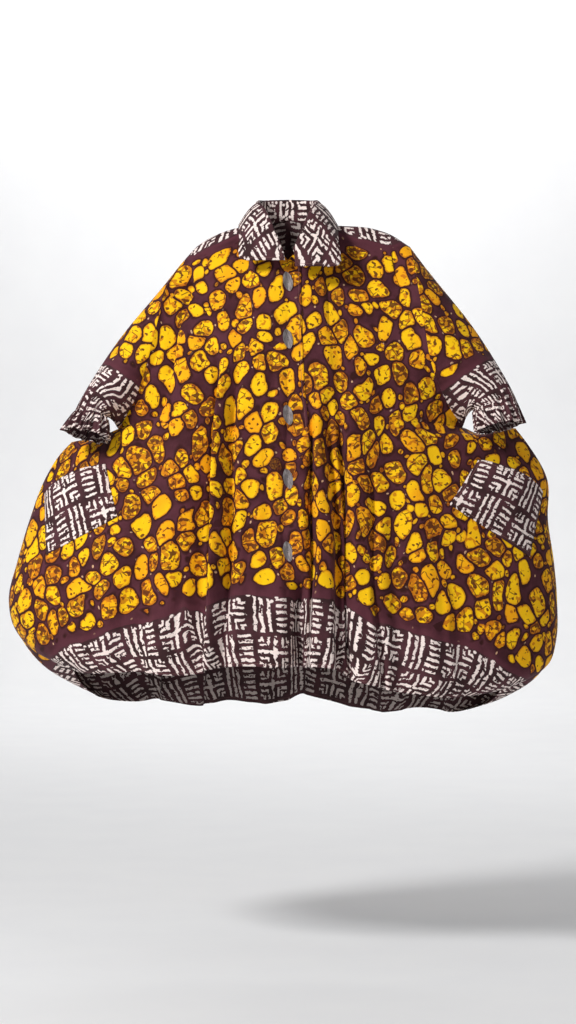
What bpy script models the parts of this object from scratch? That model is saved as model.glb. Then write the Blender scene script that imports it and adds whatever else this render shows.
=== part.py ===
"""Tunic dress with dropped sleeves, worn shape, held open with the arms out to the sides.

Every piece is a 1.4 mm wall of cloth. The frame has +Z up and the front towards -Y. The origin is the
middle of the neck on the shoulder line. The wearer's left is +X. All sizes are in metres.

Each front or back half is one curved sheet. It runs from the top edge (neckline, then shoulder seam)
at t = 0 to the hem at t = 1, and from the middle at s = 0 to its side at s = 1. The side is the
armhole first, then the side seam, which runs outwards to the corner by the cuff and down to the hem.
"""
import math

import bmesh
import bpy
import numpy as np
from mathutils import Vector
from mathutils.bvhtree import BVHTree

# Cloth
WALL = 0.0014
SEAM_GAP = 0.00034
LAYER_GAP = 0.0005

# Neck: half width at the shoulder, front and back depth, and the heights of the neckline
NECK_HALF = 0.070
NECK_FRONT_Y = -0.088
NECK_BACK_Y = 0.060
NECK_FRONT_Z = -0.085
NECK_SIDE_Z = -0.006
NECK_BACK_Z = 0.010

# Places along the edges of a sheet: s of the neck point, t of the underarm and of the outer corner
S_NECK = 0.18
T_UNDERARM = 0.36
T_CORNER = 0.46
FRONT_OVERLAP = 0.03
OVERLAP_FADE = 0.18

# Steps of the sheets. The rows of the armhole are closer together under the shoulder
NECK_STEPS = 3
SHOULDER_STEPS = 18
ARMHOLE_STEPS = 8
SIDE_TOP_STEPS = 3
SIDE_STEPS = 11
ARMHOLE_CROWDING = 0.6
SHOULDER_SPACING = 1.15
SLEEVE_PER_STEP = 3

# Outline of the cut edges, seen from the front. Columns: x, z
SHOULDER = {
    "right": [(-0.110, -0.014), (-0.148, -0.028), (-0.178, -0.046), (-0.212, -0.082)],
    "left": [(0.110, -0.008), (0.162, -0.012), (0.202, -0.024), (0.244, -0.050)],
}
ARMHOLE = {
    "right": [(-0.240, -0.136), (-0.258, -0.216), (-0.278, -0.296), (-0.302, -0.360), (-0.336, -0.416)],
    "left": [(0.252, -0.106), (0.266, -0.200), (0.284, -0.300), (0.312, -0.362), (0.346, -0.412)],
}
SIDE_TOP = {
    "right": [(-0.369, -0.424), (-0.402, -0.432), (-0.434, -0.440)],
    "left": [(0.386, -0.421), (0.421, -0.416), (0.456, -0.412)],
}
SIDE_SEAM = {
    "right": [(-0.458, -0.466), (-0.488, -0.516), (-0.518, -0.596), (-0.541, -0.676), (-0.558, -0.756),
              (-0.550, -0.800), (-0.520, -0.842), (-0.474, -0.868), (-0.436, -0.882)],
    "left": [(0.482, -0.446), (0.520, -0.516), (0.521, -0.596), (0.532, -0.676), (0.538, -0.756),
             (0.536, -0.830), (0.524, -0.872), (0.480, -0.902), (0.438, -0.914)],
}
# Depth of the armhole loop and of the underarm point
ARMHOLE_DEPTH = {"front": -0.088, "back": 0.100}
ARMHOLE_ROUND = 0.6
UNDERARM_Y = -0.036
SIDE_SEAM_Y = 0.012
# The top of the side seam sags under the cuff: x, z and how far. Then how wide and high the sag is
UNDERARM_SAG = {"right": (-0.382, -0.440, 0.010), "left": (0.382, -0.424, 0.004)}
SAG_WIDTH = 0.024
SAG_HEIGHT = 0.070
SAG_FADE = 0.02

# Middle of the front and of the back. Columns: share of the way down, y
MIDDLE_Y = {
    "front": [(0.0, -0.088), (0.10, -0.116), (0.22, -0.138), (0.45, -0.160), (0.75, -0.200), (1.0, -0.232)],
    "back": [(0.0, 0.060), (0.10, 0.112), (0.22, 0.134), (0.45, 0.168), (0.75, 0.222), (1.0, 0.262)],
}
HEM_MIDDLE_Z = {"front": -0.878, "back": -0.976}
# Height of the hem. Columns: share of the way out to the side seam, z
HEM_Z = {
    ("front", "right"): [(0.0, -0.878), (0.19, -0.878), (0.28, -0.892), (0.46, -0.889), (0.72, -0.895),
                         (1.0, -0.882)],
    ("front", "left"): [(0.0, -0.878), (0.12, -0.879), (0.22, -0.908), (0.42, -0.934), (0.72, -0.933),
                        (1.0, -0.914)],
    ("back", "right"): [(0.0, -0.976), (0.30, -0.978), (0.55, -0.968), (0.80, -0.940), (1.0, -0.882)],
    ("back", "left"): [(0.0, -0.976), (0.30, -0.990), (0.55, -0.990), (0.80, -0.965), (1.0, -0.914)],
}
# How the cross sections round off: under the shoulder seam, and towards the sides
SHOULDER_ROUND = 0.6
SHOULDER_SPAN = 0.40
# The power of the side's rounding. Columns: share of the way down, power; a higher one is flatter
SIDE_ROUND = [(0.0, 1.0), (0.30, 1.2), (0.46, 1.4), (0.70, 0.85), (1.0, 0.72)]
# How fast the bend of the shoulder seam fades on the way down, and the armhole's bend on the way in
SHOULDER_FADE = 2.2
ARMHOLE_FADE = 4

# Folds. Columns: x at the chest, x at the hem, height where it starts, half width, how far it stands out
# A fold grows with this power of the way down, and fades near the side with the other
CHEST_Z = -0.20
HEM_Z_MEAN = -0.90
FOLD_GROWTH = 0.7
FOLD_FADE = 8
FOLDS = {
    ("front", "right"): [
        (-0.126, -0.148, -0.16, 0.021, 0.016),
        (-0.160, -0.182, -0.16, 0.019, -0.018),
        (-0.060, -0.075, -0.35, 0.024, -0.008),
        (-0.215, -0.245, -0.25, 0.024, 0.010),
        (-0.250, -0.300, -0.30, 0.024, -0.010),
        (-0.290, -0.360, -0.60, 0.026, 0.010),
    ],
    ("front", "left"): [
        (0.050, 0.038, -0.30, 0.017, -0.010),
        (0.076, 0.080, -0.22, 0.020, 0.012),
        (0.100, 0.120, -0.22, 0.019, -0.018),
        (0.130, 0.160, -0.25, 0.022, 0.014),
        (0.180, 0.215, -0.25, 0.022, -0.012),
        (0.225, 0.280, -0.30, 0.024, 0.010),
        (0.270, 0.350, -0.60, 0.026, -0.010),
    ],
    ("back", "right"): [
        (-0.040, -0.055, -0.14, 0.024, -0.016),
        (-0.090, -0.115, -0.14, 0.024, 0.018),
        (-0.140, -0.180, -0.16, 0.024, -0.018),
        (-0.185, -0.245, -0.20, 0.024, 0.016),
        (-0.230, -0.305, -0.30, 0.024, -0.014),
        (-0.280, -0.365, -0.45, 0.026, 0.010),
    ],
    ("back", "left"): [
        (0.035, 0.045, -0.14, 0.024, 0.016),
        (0.080, 0.105, -0.14, 0.024, -0.018),
        (0.130, 0.165, -0.16, 0.024, 0.018),
        (0.180, 0.230, -0.20, 0.024, -0.016),
        (0.230, 0.295, -0.30, 0.024, 0.014),
        (0.280, 0.360, -0.45, 0.026, -0.010),
    ],
}

# Sleeve end. The elastic is an oval ring, across the arm and front to back; the frill hangs below it
ELASTIC = {
    "right": dict(centre=(-0.386, -0.084, -0.388), axis=(-0.24, -0.24, -0.94), across=0.030, deep=0.028),
    "left": dict(centre=(0.406, -0.084, -0.372), axis=(0.20, -0.24, -0.95), across=0.042, deep=0.030),
}
FRILL_LENGTH = 0.044
FRILL_FLARE = {"right": 0.014, "left": 0.003}
FRILL_WAVES = 12
FRILL_WAVE_DEPTH = 0.0055
GATHER_DEPTH = 0.0022
GATHER_GROWTH = 4
SLEEVE_STEPS = 7
SLEEVE_CROWDING = 0.85
FRILL_STEPS = 3
FLARE_GROWTH = 0.7
SLEEVE_FULLNESS = 0.004
FULL_FROM_LENGTH = 0.12
ELASTIC_PULL = 0.5

# Collar. Columns: share of the way round from the front, x, y, z, of its roll and of its outer edge
COLLAR_ROLL = [
    (0.00, 0.010, -0.102, -0.068), (0.18, 0.025, -0.090, -0.030), (0.34, 0.043, -0.062, 0.014),
    (0.50, 0.056, -0.012, 0.036), (0.75, 0.044, 0.048, 0.046), (1.00, 0.000, 0.068, 0.050),
]
COLLAR_EDGE = [
    (0.00, 0.006, -0.115, -0.088), (0.10, 0.045, -0.116, -0.088), (0.22, 0.093, -0.110, -0.084),
    (0.34, 0.095, -0.090, -0.046), (0.50, 0.098, 0.000, -0.006), (0.62, 0.094, 0.070, -0.022),
    (0.80, 0.060, 0.112, -0.030), (1.00, 0.000, 0.118, -0.032),
]
COLLAR_FALL_STEPS = 4
COLLAR_STAND = 0.55
COLLAR_ROLL_WIDTH = 0.006
COLLAR_SEAT = WALL / 2 + 0.0005
COLLAR_ARCH = 0.006
COLLAR_CLEAR = 0.0050
COLLAR_EDGE_CLEAR = 0.0020

# Pockets. Corners seen from the front: inner top, outer top, outer bottom, inner bottom. Columns: x, z
POCKET = {
    "right": [(-0.358, -0.486), (-0.484, -0.548), (-0.474, -0.664), (-0.332, -0.590)],
    "left": [(0.374, -0.478), (0.506, -0.542), (0.474, -0.668), (0.314, -0.566)],
}
POCKET_STEPS = 9
POCKET_BULGE = 0.026
POCKET_SEAT = 0.0007
# Powers that round the pocket's bulge across its mouth and down from it
MOUTH_ROUND = 0.8
BULGE_ROUND = 1.2

# Buttons: pointed ovals down the middle. Their heights, half length, half width, dome and lean
BUTTON_Z = [-0.128, -0.243, -0.392, -0.516, -0.656]
BUTTON_HALF_LENGTH = 0.020
BUTTON_HALF_WIDTH = 0.0095
BUTTON_THICK = 0.0035
# Share of the thickness at the rim, share of the length that the ridge takes, and how pointed it is
BUTTON_RIM = 0.45
BUTTON_RIDGE = 0.45
BUTTON_POINTED = 1.3
BUTTON_LEAN = math.radians(12)
BUTTON_POINTS = 16

COLOURS = {
    "spotted_cloth": (0.60, 0.26, 0.03, 1.0),
    "marked_cloth": (0.20, 0.13, 0.12, 1.0),
    "horn": (0.16, 0.13, 0.12, 1.0),
}
ROUGHNESS = {"spotted_cloth": 0.85, "marked_cloth": 0.85, "horn": 0.35}
SIGN = {"right": -1.0, "left": 1.0}
FACING = {"front": -1.0, "back": 1.0}


def clear_scene():
    """Start from an empty file."""
    for thing in list(bpy.data.objects):
        bpy.data.objects.remove(thing, do_unlink=True)


def material(name):
    """The plain finish of one kind of cloth, or of the buttons."""
    found = bpy.data.materials.get(name)
    if found:
        return found
    made = bpy.data.materials.new(name)
    made.use_nodes = True
    shader = made.node_tree.nodes["Principled BSDF"]
    shader.inputs["Base Color"].default_value = COLOURS[name]
    shader.inputs["Roughness"].default_value = ROUGHNESS[name]
    shader.inputs["Metallic"].default_value = 0.0
    return made


def mix(a, b, share):
    """A value or point part of the way from a to b."""
    return a + (b - a) * share


def curve_through(rows):
    """A smooth curve through points given with their places along it in the first column."""
    table = np.array(rows, dtype=float)
    places, points = table[:, 0], table[:, 1:]
    slopes = np.gradient(points, places, axis=0)

    def at(place):
        place = min(max(place, places[0]), places[-1])
        k = min(int(np.searchsorted(places, place, side="right")) - 1, len(places) - 2)
        span = places[k + 1] - places[k]
        u = (place - places[k]) / span
        start = (2 * u ** 3 - 3 * u ** 2 + 1) * points[k] + (u ** 3 - 2 * u ** 2 + u) * span * slopes[k]
        end = (3 * u ** 2 - 2 * u ** 3) * points[k + 1] + (u ** 3 - u ** 2) * span * slopes[k + 1]
        return start + end

    return at


def by_length(points):
    """The same curve, its places worked out from the distances between the points."""
    points = np.array(points, dtype=float)
    steps = np.linalg.norm(np.diff(points, axis=0), axis=1)
    places = np.concatenate([[0.0], np.cumsum(steps)]) / steps.sum()
    return curve_through(np.column_stack([places, points]))


def neckline(face, side, share):
    """A point of the neckline: share 0 is the middle of the front or back, 1 is the shoulder."""
    turn = share * math.pi / 2
    middle_y = NECK_FRONT_Y if face == "front" else NECK_BACK_Y
    middle_z = NECK_FRONT_Z if face == "front" else NECK_BACK_Z
    x = SIGN[side] * NECK_HALF * math.sin(turn)
    return np.array([x, middle_y * math.cos(turn), mix(middle_z, NECK_SIDE_Z, math.sin(turn))])


SHOULDER_CURVE = {}
ARMHOLE_CURVE = {}
SIDE_TOP_CURVE = {}
SIDE_CURVE = {}
for side_name in SIGN:
    neck_point = (SIGN[side_name] * NECK_HALF, NECK_SIDE_Z)
    SHOULDER_CURVE[side_name] = by_length([neck_point] + SHOULDER[side_name])
    ARMHOLE_CURVE[side_name] = by_length([SHOULDER[side_name][-1]] + ARMHOLE[side_name])
    SIDE_TOP_CURVE[side_name] = by_length([ARMHOLE[side_name][-1]] + SIDE_TOP[side_name])
    SIDE_CURVE[side_name] = by_length([SIDE_TOP[side_name][-1]] + SIDE_SEAM[side_name])


def armhole(face, side, share):
    """A point of the armhole seam: share 0 is the shoulder, 1 is the underarm."""
    x, z = ARMHOLE_CURVE[side](share)
    power = mix(ARMHOLE_ROUND, 1.0, share)
    y = ARMHOLE_DEPTH[face] * math.sin(math.pi * share) ** power + UNDERARM_Y * share
    return np.array([x, y, z])


def top_edge(face, side, s):
    """The top edge of a half: neckline, then shoulder seam."""
    if s <= S_NECK:
        return neckline(face, side, s / S_NECK)
    x, z = SHOULDER_CURVE[side]((s - S_NECK) / (1.0 - S_NECK))
    return np.array([x, 0.0, z])


def side_edge(face, side, t):
    """The side of a half: armhole, then the side seam out to the corner and down to the hem."""
    if t <= T_UNDERARM:
        return armhole(face, side, t / T_UNDERARM)
    if t <= T_CORNER:
        share = (t - T_UNDERARM) / (T_CORNER - T_UNDERARM)
        x, z = SIDE_TOP_CURVE[side](share)
        return np.array([x, mix(UNDERARM_Y, SIDE_SEAM_Y, share), z])
    x, z = SIDE_CURVE[side]((t - T_CORNER) / (1.0 - T_CORNER))
    return np.array([x, SIDE_SEAM_Y, z])


ROUND_CURVE = curve_through(SIDE_ROUND)
HEM_CURVE = {key: curve_through(rows) for key, rows in HEM_Z.items()}
MIDDLE_CURVE = {key: curve_through(rows) for key, rows in MIDDLE_Y.items()}


def hem_edge(face, side, s):
    """The hem, a quarter of an oval seen from above."""
    turn = s * math.pi / 2
    corner_x = SIDE_SEAM[side][-1][0]
    y = mix(SIDE_SEAM_Y, MIDDLE_Y[face][-1][1], math.cos(turn) ** SIDE_ROUND[-1][1])
    return np.array([corner_x * math.sin(turn), y, HEM_CURVE[(face, side)](s)[0]])


def middle_edge(face, t):
    """The middle of the front or of the back."""
    top_z = NECK_FRONT_Z if face == "front" else NECK_BACK_Z
    return np.array([0.0, MIDDLE_CURVE[face](t)[0], mix(top_z, HEM_MIDDLE_Z[face], t)])


def smooth_step(value, start, stop):
    """0 before start, 1 after stop, smooth between."""
    u = min(1.0, max(0.0, (value - start) / (stop - start)))
    return u * u * (3.0 - 2.0 * u)


def fold_height(face, side, x, z):
    """How far the folds push the cloth out at one place."""
    height = 0.0
    for x_chest, x_hem, z_start, width, depth in FOLDS[(face, side)]:
        grown = min(1.0, max(0.0, (z_start - z) / (z_start - HEM_Z_MEAN)))
        line = mix(x_chest, x_hem, (CHEST_Z - z) / (CHEST_Z - HEM_Z_MEAN))
        height += depth * grown ** FOLD_GROWTH * math.exp(-((x - line) / width) ** 2)
    return height


def sheet_point(face, side, s, t):
    """A point of one half, front or back, with the fullness and the folds."""
    turn = s * math.pi / 2
    out = mix(s, math.sin(turn), smooth_step(t, 0.0, T_CORNER))
    top, hem = top_edge(face, side, s), hem_edge(face, side, s)
    middle, seam = middle_edge(face, t), side_edge(face, side, t)
    down = 1.0 - (1.0 - t) ** SHOULDER_FADE
    corners = mix(mix(top_edge(face, side, 0.0), top_edge(face, side, 1.0), out),
                  mix(hem_edge(face, side, 0.0), hem_edge(face, side, 1.0), out), down)
    point = mix(top, hem, down) + mix(middle, seam, out) - corners
    below = math.sin(math.pi / 2 * min(1.0, t / SHOULDER_SPAN)) ** SHOULDER_ROUND
    rounded = mix(seam[1], middle[1], math.cos(turn) ** ROUND_CURVE(t)[0])
    point[1] = mix(top[1], rounded, below) + s ** ARMHOLE_FADE * (1.0 - below) * seam[1]
    outwards = np.array([SIGN[side] * math.sin(turn), FACING[face] * math.cos(turn), 0.0])
    point = point + outwards * fold_height(face, side, point[0], point[2]) * (1.0 - s ** FOLD_FADE)
    sag_x, sag_z, sag_depth = UNDERARM_SAG[side]
    near = math.exp(-((point[0] - sag_x) / SAG_WIDTH) ** 2 - ((point[2] - sag_z) / SAG_HEIGHT) ** 2)
    sag = sag_depth * near * smooth_step(t, T_UNDERARM, T_UNDERARM + SAG_FADE)
    return point - np.array([0.0, 0.0, sag])


def steps_between(start, end, count):
    """Even places from start to end, without the start."""
    return [mix(start, end, k / count) for k in range(1, count + 1)]


def columns_of_half():
    """The places across one half, from the middle to the side."""
    places = [0.0, FRONT_OVERLAP] + steps_between(FRONT_OVERLAP, S_NECK, NECK_STEPS)
    shares = [(k / SHOULDER_STEPS) ** SHOULDER_SPACING for k in range(1, SHOULDER_STEPS + 1)]
    return places + [mix(S_NECK, 1.0, share) for share in shares]


def armhole_places():
    """The places down the armhole from 0 to 1, closer together near both ends."""
    evenly = [k / ARMHOLE_STEPS for k in range(ARMHOLE_STEPS + 1)]
    return [mix(share, (1.0 - math.cos(math.pi * share)) / 2, ARMHOLE_CROWDING) for share in evenly]


def rows_of_sheet():
    """The places down a sheet."""
    places = [T_UNDERARM * share for share in armhole_places()]
    places += steps_between(T_UNDERARM, T_CORNER, SIDE_TOP_STEPS)
    return places + steps_between(T_CORNER, 1.0, SIDE_STEPS)


def sheet_grid(face, places):
    """Points of a front or back. A place below 0 is on the wearer's right."""
    grid = []
    for t in rows_of_sheet():
        row = []
        for place in places:
            side = "right" if place < 0 else "left"
            row.append(sheet_point(face, side, abs(place), t))
        grid.append(row)
    return np.array(grid)


def sleeve_frame(side):
    """Middle of the elastic, and the directions along the arm, outwards across it and forwards."""
    end = ELASTIC[side]
    axis = np.array(end["axis"]) / np.linalg.norm(end["axis"])
    forwards = np.array([0.0, -1.0, 0.0])
    forwards = forwards - axis * forwards.dot(axis)
    forwards = forwards / np.linalg.norm(forwards)
    outwards = np.cross(axis, forwards) * SIGN[side]
    if outwards[0] * SIGN[side] < 0:
        outwards = -outwards
    return np.array(end["centre"]), axis, outwards, forwards


def armhole_ring(side):
    """The armhole's points, with even steps between those that it shares with the fronts and the back."""
    front = [armhole("front", side, share) for share in armhole_places()]
    back = [armhole("back", side, share) for share in armhole_places()]
    corners = front + back[-2:0:-1]
    ring = []
    for k, here in enumerate(corners):
        after = corners[(k + 1) % len(corners)]
        ring += [mix(here, after, step / SLEEVE_PER_STEP) for step in range(SLEEVE_PER_STEP)]
    return ring


def arm_ring(side, u, first_ring):
    """A ring of the arm, part of the way u from the armhole to the elastic."""
    centre, axis, outwards, forwards = sleeve_frame(side)
    end = ELASTIC[side]
    ring = []
    for k, start in enumerate(first_ring):
        angle = 2 * math.pi * k / len(first_ring)
        stop = (centre + end["across"] * math.cos(angle) * outwards
                + end["deep"] * math.sin(angle) * forwards)
        reach = np.linalg.norm(stop - start)
        leave, arrive = (stop - start), axis * reach * ELASTIC_PULL
        point = ((2 * u ** 3 - 3 * u ** 2 + 1) * start + (u ** 3 - 2 * u ** 2 + u) * leave
                 + (3 * u ** 2 - 2 * u ** 3) * stop + (u ** 3 - u ** 2) * arrive)
        radial = math.cos(angle) * outwards + math.sin(angle) * forwards
        fullness = SLEEVE_FULLNESS * math.sin(math.pi * u) * min(1.0, reach / FULL_FROM_LENGTH)
        gather = GATHER_DEPTH * math.cos(FRILL_WAVES * angle) * u ** GATHER_GROWTH
        ring.append(point + radial * (fullness + gather))
    return ring


def frill_ring(side, v, around):
    """A ring of the frill, part of the way v from the elastic to its edge."""
    centre, axis, outwards, forwards = sleeve_frame(side)
    end = ELASTIC[side]
    ring = []
    for k in range(around):
        angle = 2 * math.pi * k / around
        grow = FRILL_FLARE[side] * v ** FLARE_GROWTH
        wave = mix(GATHER_DEPTH, FRILL_WAVE_DEPTH, v) * math.cos(FRILL_WAVES * angle)
        across = end["across"] + grow + wave
        deep = end["deep"] + grow + wave
        ring.append(centre + axis * FRILL_LENGTH * v + across * math.cos(angle) * outwards
                    + deep * math.sin(angle) * forwards)
    return ring


def sleeve_grid(side):
    """Rings of a sleeve: armhole, arm, elastic and frill. A ring starts at the top and goes forwards."""
    first_ring = armhole_ring(side)
    rings = [first_ring]
    for step in range(1, SLEEVE_STEPS + 1):
        rings.append(arm_ring(side, (step / SLEEVE_STEPS) ** SLEEVE_CROWDING, first_ring))
    for step in range(1, FRILL_STEPS + 1):
        rings.append(frill_ring(side, step / FRILL_STEPS, len(first_ring)))
    return np.array(rings)


def key_of(point):
    """A point's place to a hundredth of a millimetre, to find the same point in two sheets."""
    return tuple(int(round(value * 1e5)) for value in point)


def gather_normals(sheets):
    """The outward direction at every point, shared where sheets meet at a seam."""
    totals = {}
    for grid, closed, flip in sheets:
        rows, columns = grid.shape[:2]
        last = columns if closed else columns - 1
        for r in range(rows - 1):
            for c in range(last):
                d = (c + 1) % columns
                a, b, e, f = grid[r, c], grid[r, d], grid[r + 1, d], grid[r + 1, c]
                normal = np.cross(e - a, f - b) * flip
                for point in (a, b, e, f):
                    key = key_of(point)
                    totals[key] = totals.get(key, np.zeros(3)) + normal
    return {key: total / np.linalg.norm(total) for key, total in totals.items()}


def normals_of(grid, totals):
    """The shared outward directions of one sheet's points."""
    out = np.zeros_like(grid)
    for r in range(grid.shape[0]):
        for c in range(grid.shape[1]):
            out[r, c] = totals[key_of(grid[r, c])]
    return out


def trim(points, edges):
    """Draw the named edges of a sheet back by half a seam gap, square to the edge."""
    moves = {"first_row": ((0, slice(None)), (1, slice(None))),
             "first_column": ((slice(None), 0), (slice(None), 1)),
             "last_column": ((slice(None), -1), (slice(None), -2))}
    trimmed = points.copy()
    for edge in edges:
        here, inside = moves[edge]
        along = np.gradient(points[here], axis=0)
        along = along / np.linalg.norm(along, axis=-1, keepdims=True)
        way = points[inside] - points[here]
        way = way - along * (way * along).sum(axis=-1, keepdims=True)
        way = way / np.linalg.norm(way, axis=-1, keepdims=True)
        trimmed[here] = trimmed[here] + way * SEAM_GAP / 2
    return trimmed


def wall_mesh(outer, inner, closed):
    """A closed wall between two sheets of points with the same layout."""
    rows, columns = outer.shape[:2]
    mesh = bmesh.new()
    tops = [[mesh.verts.new(outer[r, c]) for c in range(columns)] for r in range(rows)]
    lows = [[mesh.verts.new(inner[r, c]) for c in range(columns)] for r in range(rows)]
    last = columns if closed else columns - 1
    for r in range(rows - 1):
        for c in range(last):
            d = (c + 1) % columns
            mesh.faces.new((tops[r][c], tops[r][d], tops[r + 1][d]))
            mesh.faces.new((tops[r][c], tops[r + 1][d], tops[r + 1][c]))
            mesh.faces.new((lows[r][c], lows[r + 1][d], lows[r][d]))
            mesh.faces.new((lows[r][c], lows[r + 1][c], lows[r + 1][d]))
    for r in (0, rows - 1):
        for c in range(last):
            d = (c + 1) % columns
            mesh.faces.new((tops[r][c], lows[r][c], lows[r][d], tops[r][d]))
    if not closed:
        for c in (0, columns - 1):
            for r in range(rows - 1):
                mesh.faces.new((tops[r][c], lows[r][c], lows[r + 1][c], tops[r + 1][c]))
    bmesh.ops.recalc_face_normals(mesh, faces=mesh.faces)
    bmesh.ops.triangulate(mesh, faces=[face for face in mesh.faces if len(face.verts) > 3])
    return mesh


def add_object(name, mesh, finish):
    """Put a finished mesh into the scene as one named piece."""
    if mesh.calc_volume(signed=True) < 0:
        bmesh.ops.reverse_faces(mesh, faces=mesh.faces)
    data = bpy.data.meshes.new(name)
    mesh.to_mesh(data)
    mesh.free()
    data.materials.append(material(finish))
    data.shade_smooth()
    data.set_sharp_from_angle(angle=math.radians(50))
    piece = bpy.data.objects.new(name, data)
    bpy.context.scene.collection.objects.link(piece)
    return piece


def body_grids(half):
    """The points of every sheet that shares a seam with another."""
    mirrored = [-place for place in reversed(half)]
    return {
        "front_right": sheet_grid("front", mirrored + [FRONT_OVERLAP]),
        "front_left": sheet_grid("front", [-FRONT_OVERLAP] + half),
        "back": sheet_grid("back", mirrored[:-1] + half),
        "sleeve_right": sleeve_grid("right"),
        "sleeve_left": sleeve_grid("left"),
    }


def shared_normals(grids, half):
    """Outward directions that meeting sheets share, and the sleeves' own ones for the underarm."""
    whole_front = sheet_grid("front", [-place for place in reversed(half)][:-1] + half)
    body_sheets = [(whole_front, False, -1.0), (grids["back"], False, 1.0)]
    sleeve_sheets = [(grids["sleeve_right"], True, -1.0), (grids["sleeve_left"], True, 1.0)]
    totals = gather_normals(body_sheets + sleeve_sheets)
    body_totals = gather_normals(body_sheets)
    for side in SIGN:
        underarm = key_of(armhole("front", side, 1.0))
        totals[underarm] = body_totals[underarm]
    return totals, gather_normals(sleeve_sheets)


def sleeve_normals(grid, totals, sleeve_totals):
    """A sleeve's outward directions. Between the shared points of the armhole they are blended."""
    normals = normals_of(grid, totals)
    around = grid.shape[1]
    underarm = around // 2
    normals[0, underarm] = sleeve_totals[key_of(grid[0, underarm])]
    for k in range(around):
        here = k - k % SLEEVE_PER_STEP
        after = (here + SLEEVE_PER_STEP) % around
        normals[0, k] = mix(normals[0, here], normals[0, after], (k - here) / SLEEVE_PER_STEP)
    return normals


def lap_lift(place):
    """How far the right front is lifted off the left one where it laps over it."""
    near = 1.0 - max(0.0, (abs(place) - FRONT_OVERLAP) / (OVERLAP_FADE - FRONT_OVERLAP))
    return (WALL + LAYER_GAP) * max(0.0, min(1.0, near))


def build_body():
    """The fronts, the back and the sleeves, all with shared seams."""
    half = columns_of_half()
    grids = body_grids(half)
    totals, sleeve_totals = shared_normals(grids, half)
    trims = {"front_right": ("first_row", "first_column"), "front_left": ("first_row", "last_column"),
             "back": ("first_row", "first_column", "last_column"),
             "sleeve_right": ("first_row",), "sleeve_left": ("first_row",)}
    outers, inners = {}, {}
    for name, grid in grids.items():
        closed = name.startswith("sleeve")
        normals = sleeve_normals(grid, totals, sleeve_totals) if closed else normals_of(grid, totals)
        outer = grid.copy()
        if name == "front_right":
            places = [-place for place in reversed(half)] + [FRONT_OVERLAP]
            lifts = np.array([lap_lift(place) for place in places])
            outer += normals * lifts[None, :, None]
        inner = outer - normals * WALL
        outer, inner = trim(outer, trims[name]), trim(inner, trims[name])
        outers[name], inners[name] = outer, inner
        add_object(name, wall_mesh(outer, inner, closed), "spotted_cloth")
    return outers, inners


def cloth_surface(outers):
    """The outside of the fronts and the back, to lay other pieces on."""
    points, faces = [], []
    for name in ("front_right", "front_left", "back"):
        grid = outers[name]
        rows, columns = grid.shape[:2]
        start = len(points)
        points += [Vector(grid[r, c]) for r in range(rows) for c in range(columns)]
        turned = name == "back"
        for r in range(rows - 1):
            for c in range(columns - 1):
                a = start + r * columns + c
                quad = (a, a + columns + 1, a + 1) if not turned else (a, a + 1, a + columns + 1)
                other = (a, a + columns, a + columns + 1) if not turned else (a, a + columns + 1, a + columns)
                faces += [quad, other]
    return BVHTree.FromPolygons(points, faces)


def lifted(cloth, point, clearance):
    """The point itself, or the nearest place that stands clear of the cloth."""
    place, normal, _, _ = cloth.find_nearest(Vector(point))
    outside = np.array(normal)
    if outside.dot(np.array([place.x, place.y, 0.0])) < 0 and abs(normal.z) < 0.9:
        outside = -outside
    if outside[2] < -0.9:
        outside = -outside
    height = (np.array(point) - np.array(place)).dot(outside)
    if height >= clearance:
        return np.array(point)
    return np.array(place) + outside * clearance


def dropped_on(cloth, x, z):
    """Where a line from the front meets the cloth, and its outward direction there."""
    place, normal, _, _ = cloth.ray_cast(Vector((x, -1.0, z)), Vector((0.0, 1.0, 0.0)))
    outside = np.array(normal)
    if outside[1] > 0:
        outside = -outside
    return np.array(place), outside


def neck_edge(outers, inners):
    """Seats for the collar just inside the neckline: side, share of the way round, point."""
    half = columns_of_half()
    count = NECK_STEPS + 1
    middle = len(half) - 1
    shares_front = [0.5 * (s - FRONT_OVERLAP) / (S_NECK - FRONT_OVERLAP) for s in half[1:count + 1]]
    shares_back = [1.0 - 0.5 * s / S_NECK for s in half[:count + 1]]
    parts = [("front_right", range(middle - 1, middle - count - 1, -1), "right", shares_front),
             ("back", range(middle - count, middle + 1), "right", shares_back[::-1]),
             ("back", range(middle, middle + count + 1), "left", shares_back),
             ("front_left", range(1 + count, 1, -1), "left", shares_front[::-1])]
    corners = []
    for name, columns, side, shares in parts:
        edge = (outers[name][0] + inners[name][0]) / 2
        way = edge - (outers[name][1] + inners[name][1]) / 2
        along = np.gradient(edge, axis=0)
        along = along / np.linalg.norm(along, axis=-1, keepdims=True)
        way = way - along * (way * along).sum(axis=-1, keepdims=True)
        way = way / np.linalg.norm(way, axis=-1, keepdims=True)
        seats = [(side, share, edge[c] + way[c] * COLLAR_SEAT) for c, share in zip(columns, shares)]
        if corners:
            before = corners.pop()
            seats[0] = (side, seats[0][1], (seats[0][2] + before[2]) / 2)
        corners += seats
    stations = []
    for here, after in zip(corners, corners[1:]):
        side = here[0] if here[1] < 1.0 else after[0]
        stations += [here, (side, (here[1] + after[1]) / 2, mix(here[2], after[2], 0.5))]
    return stations + [corners[-1]]


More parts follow.
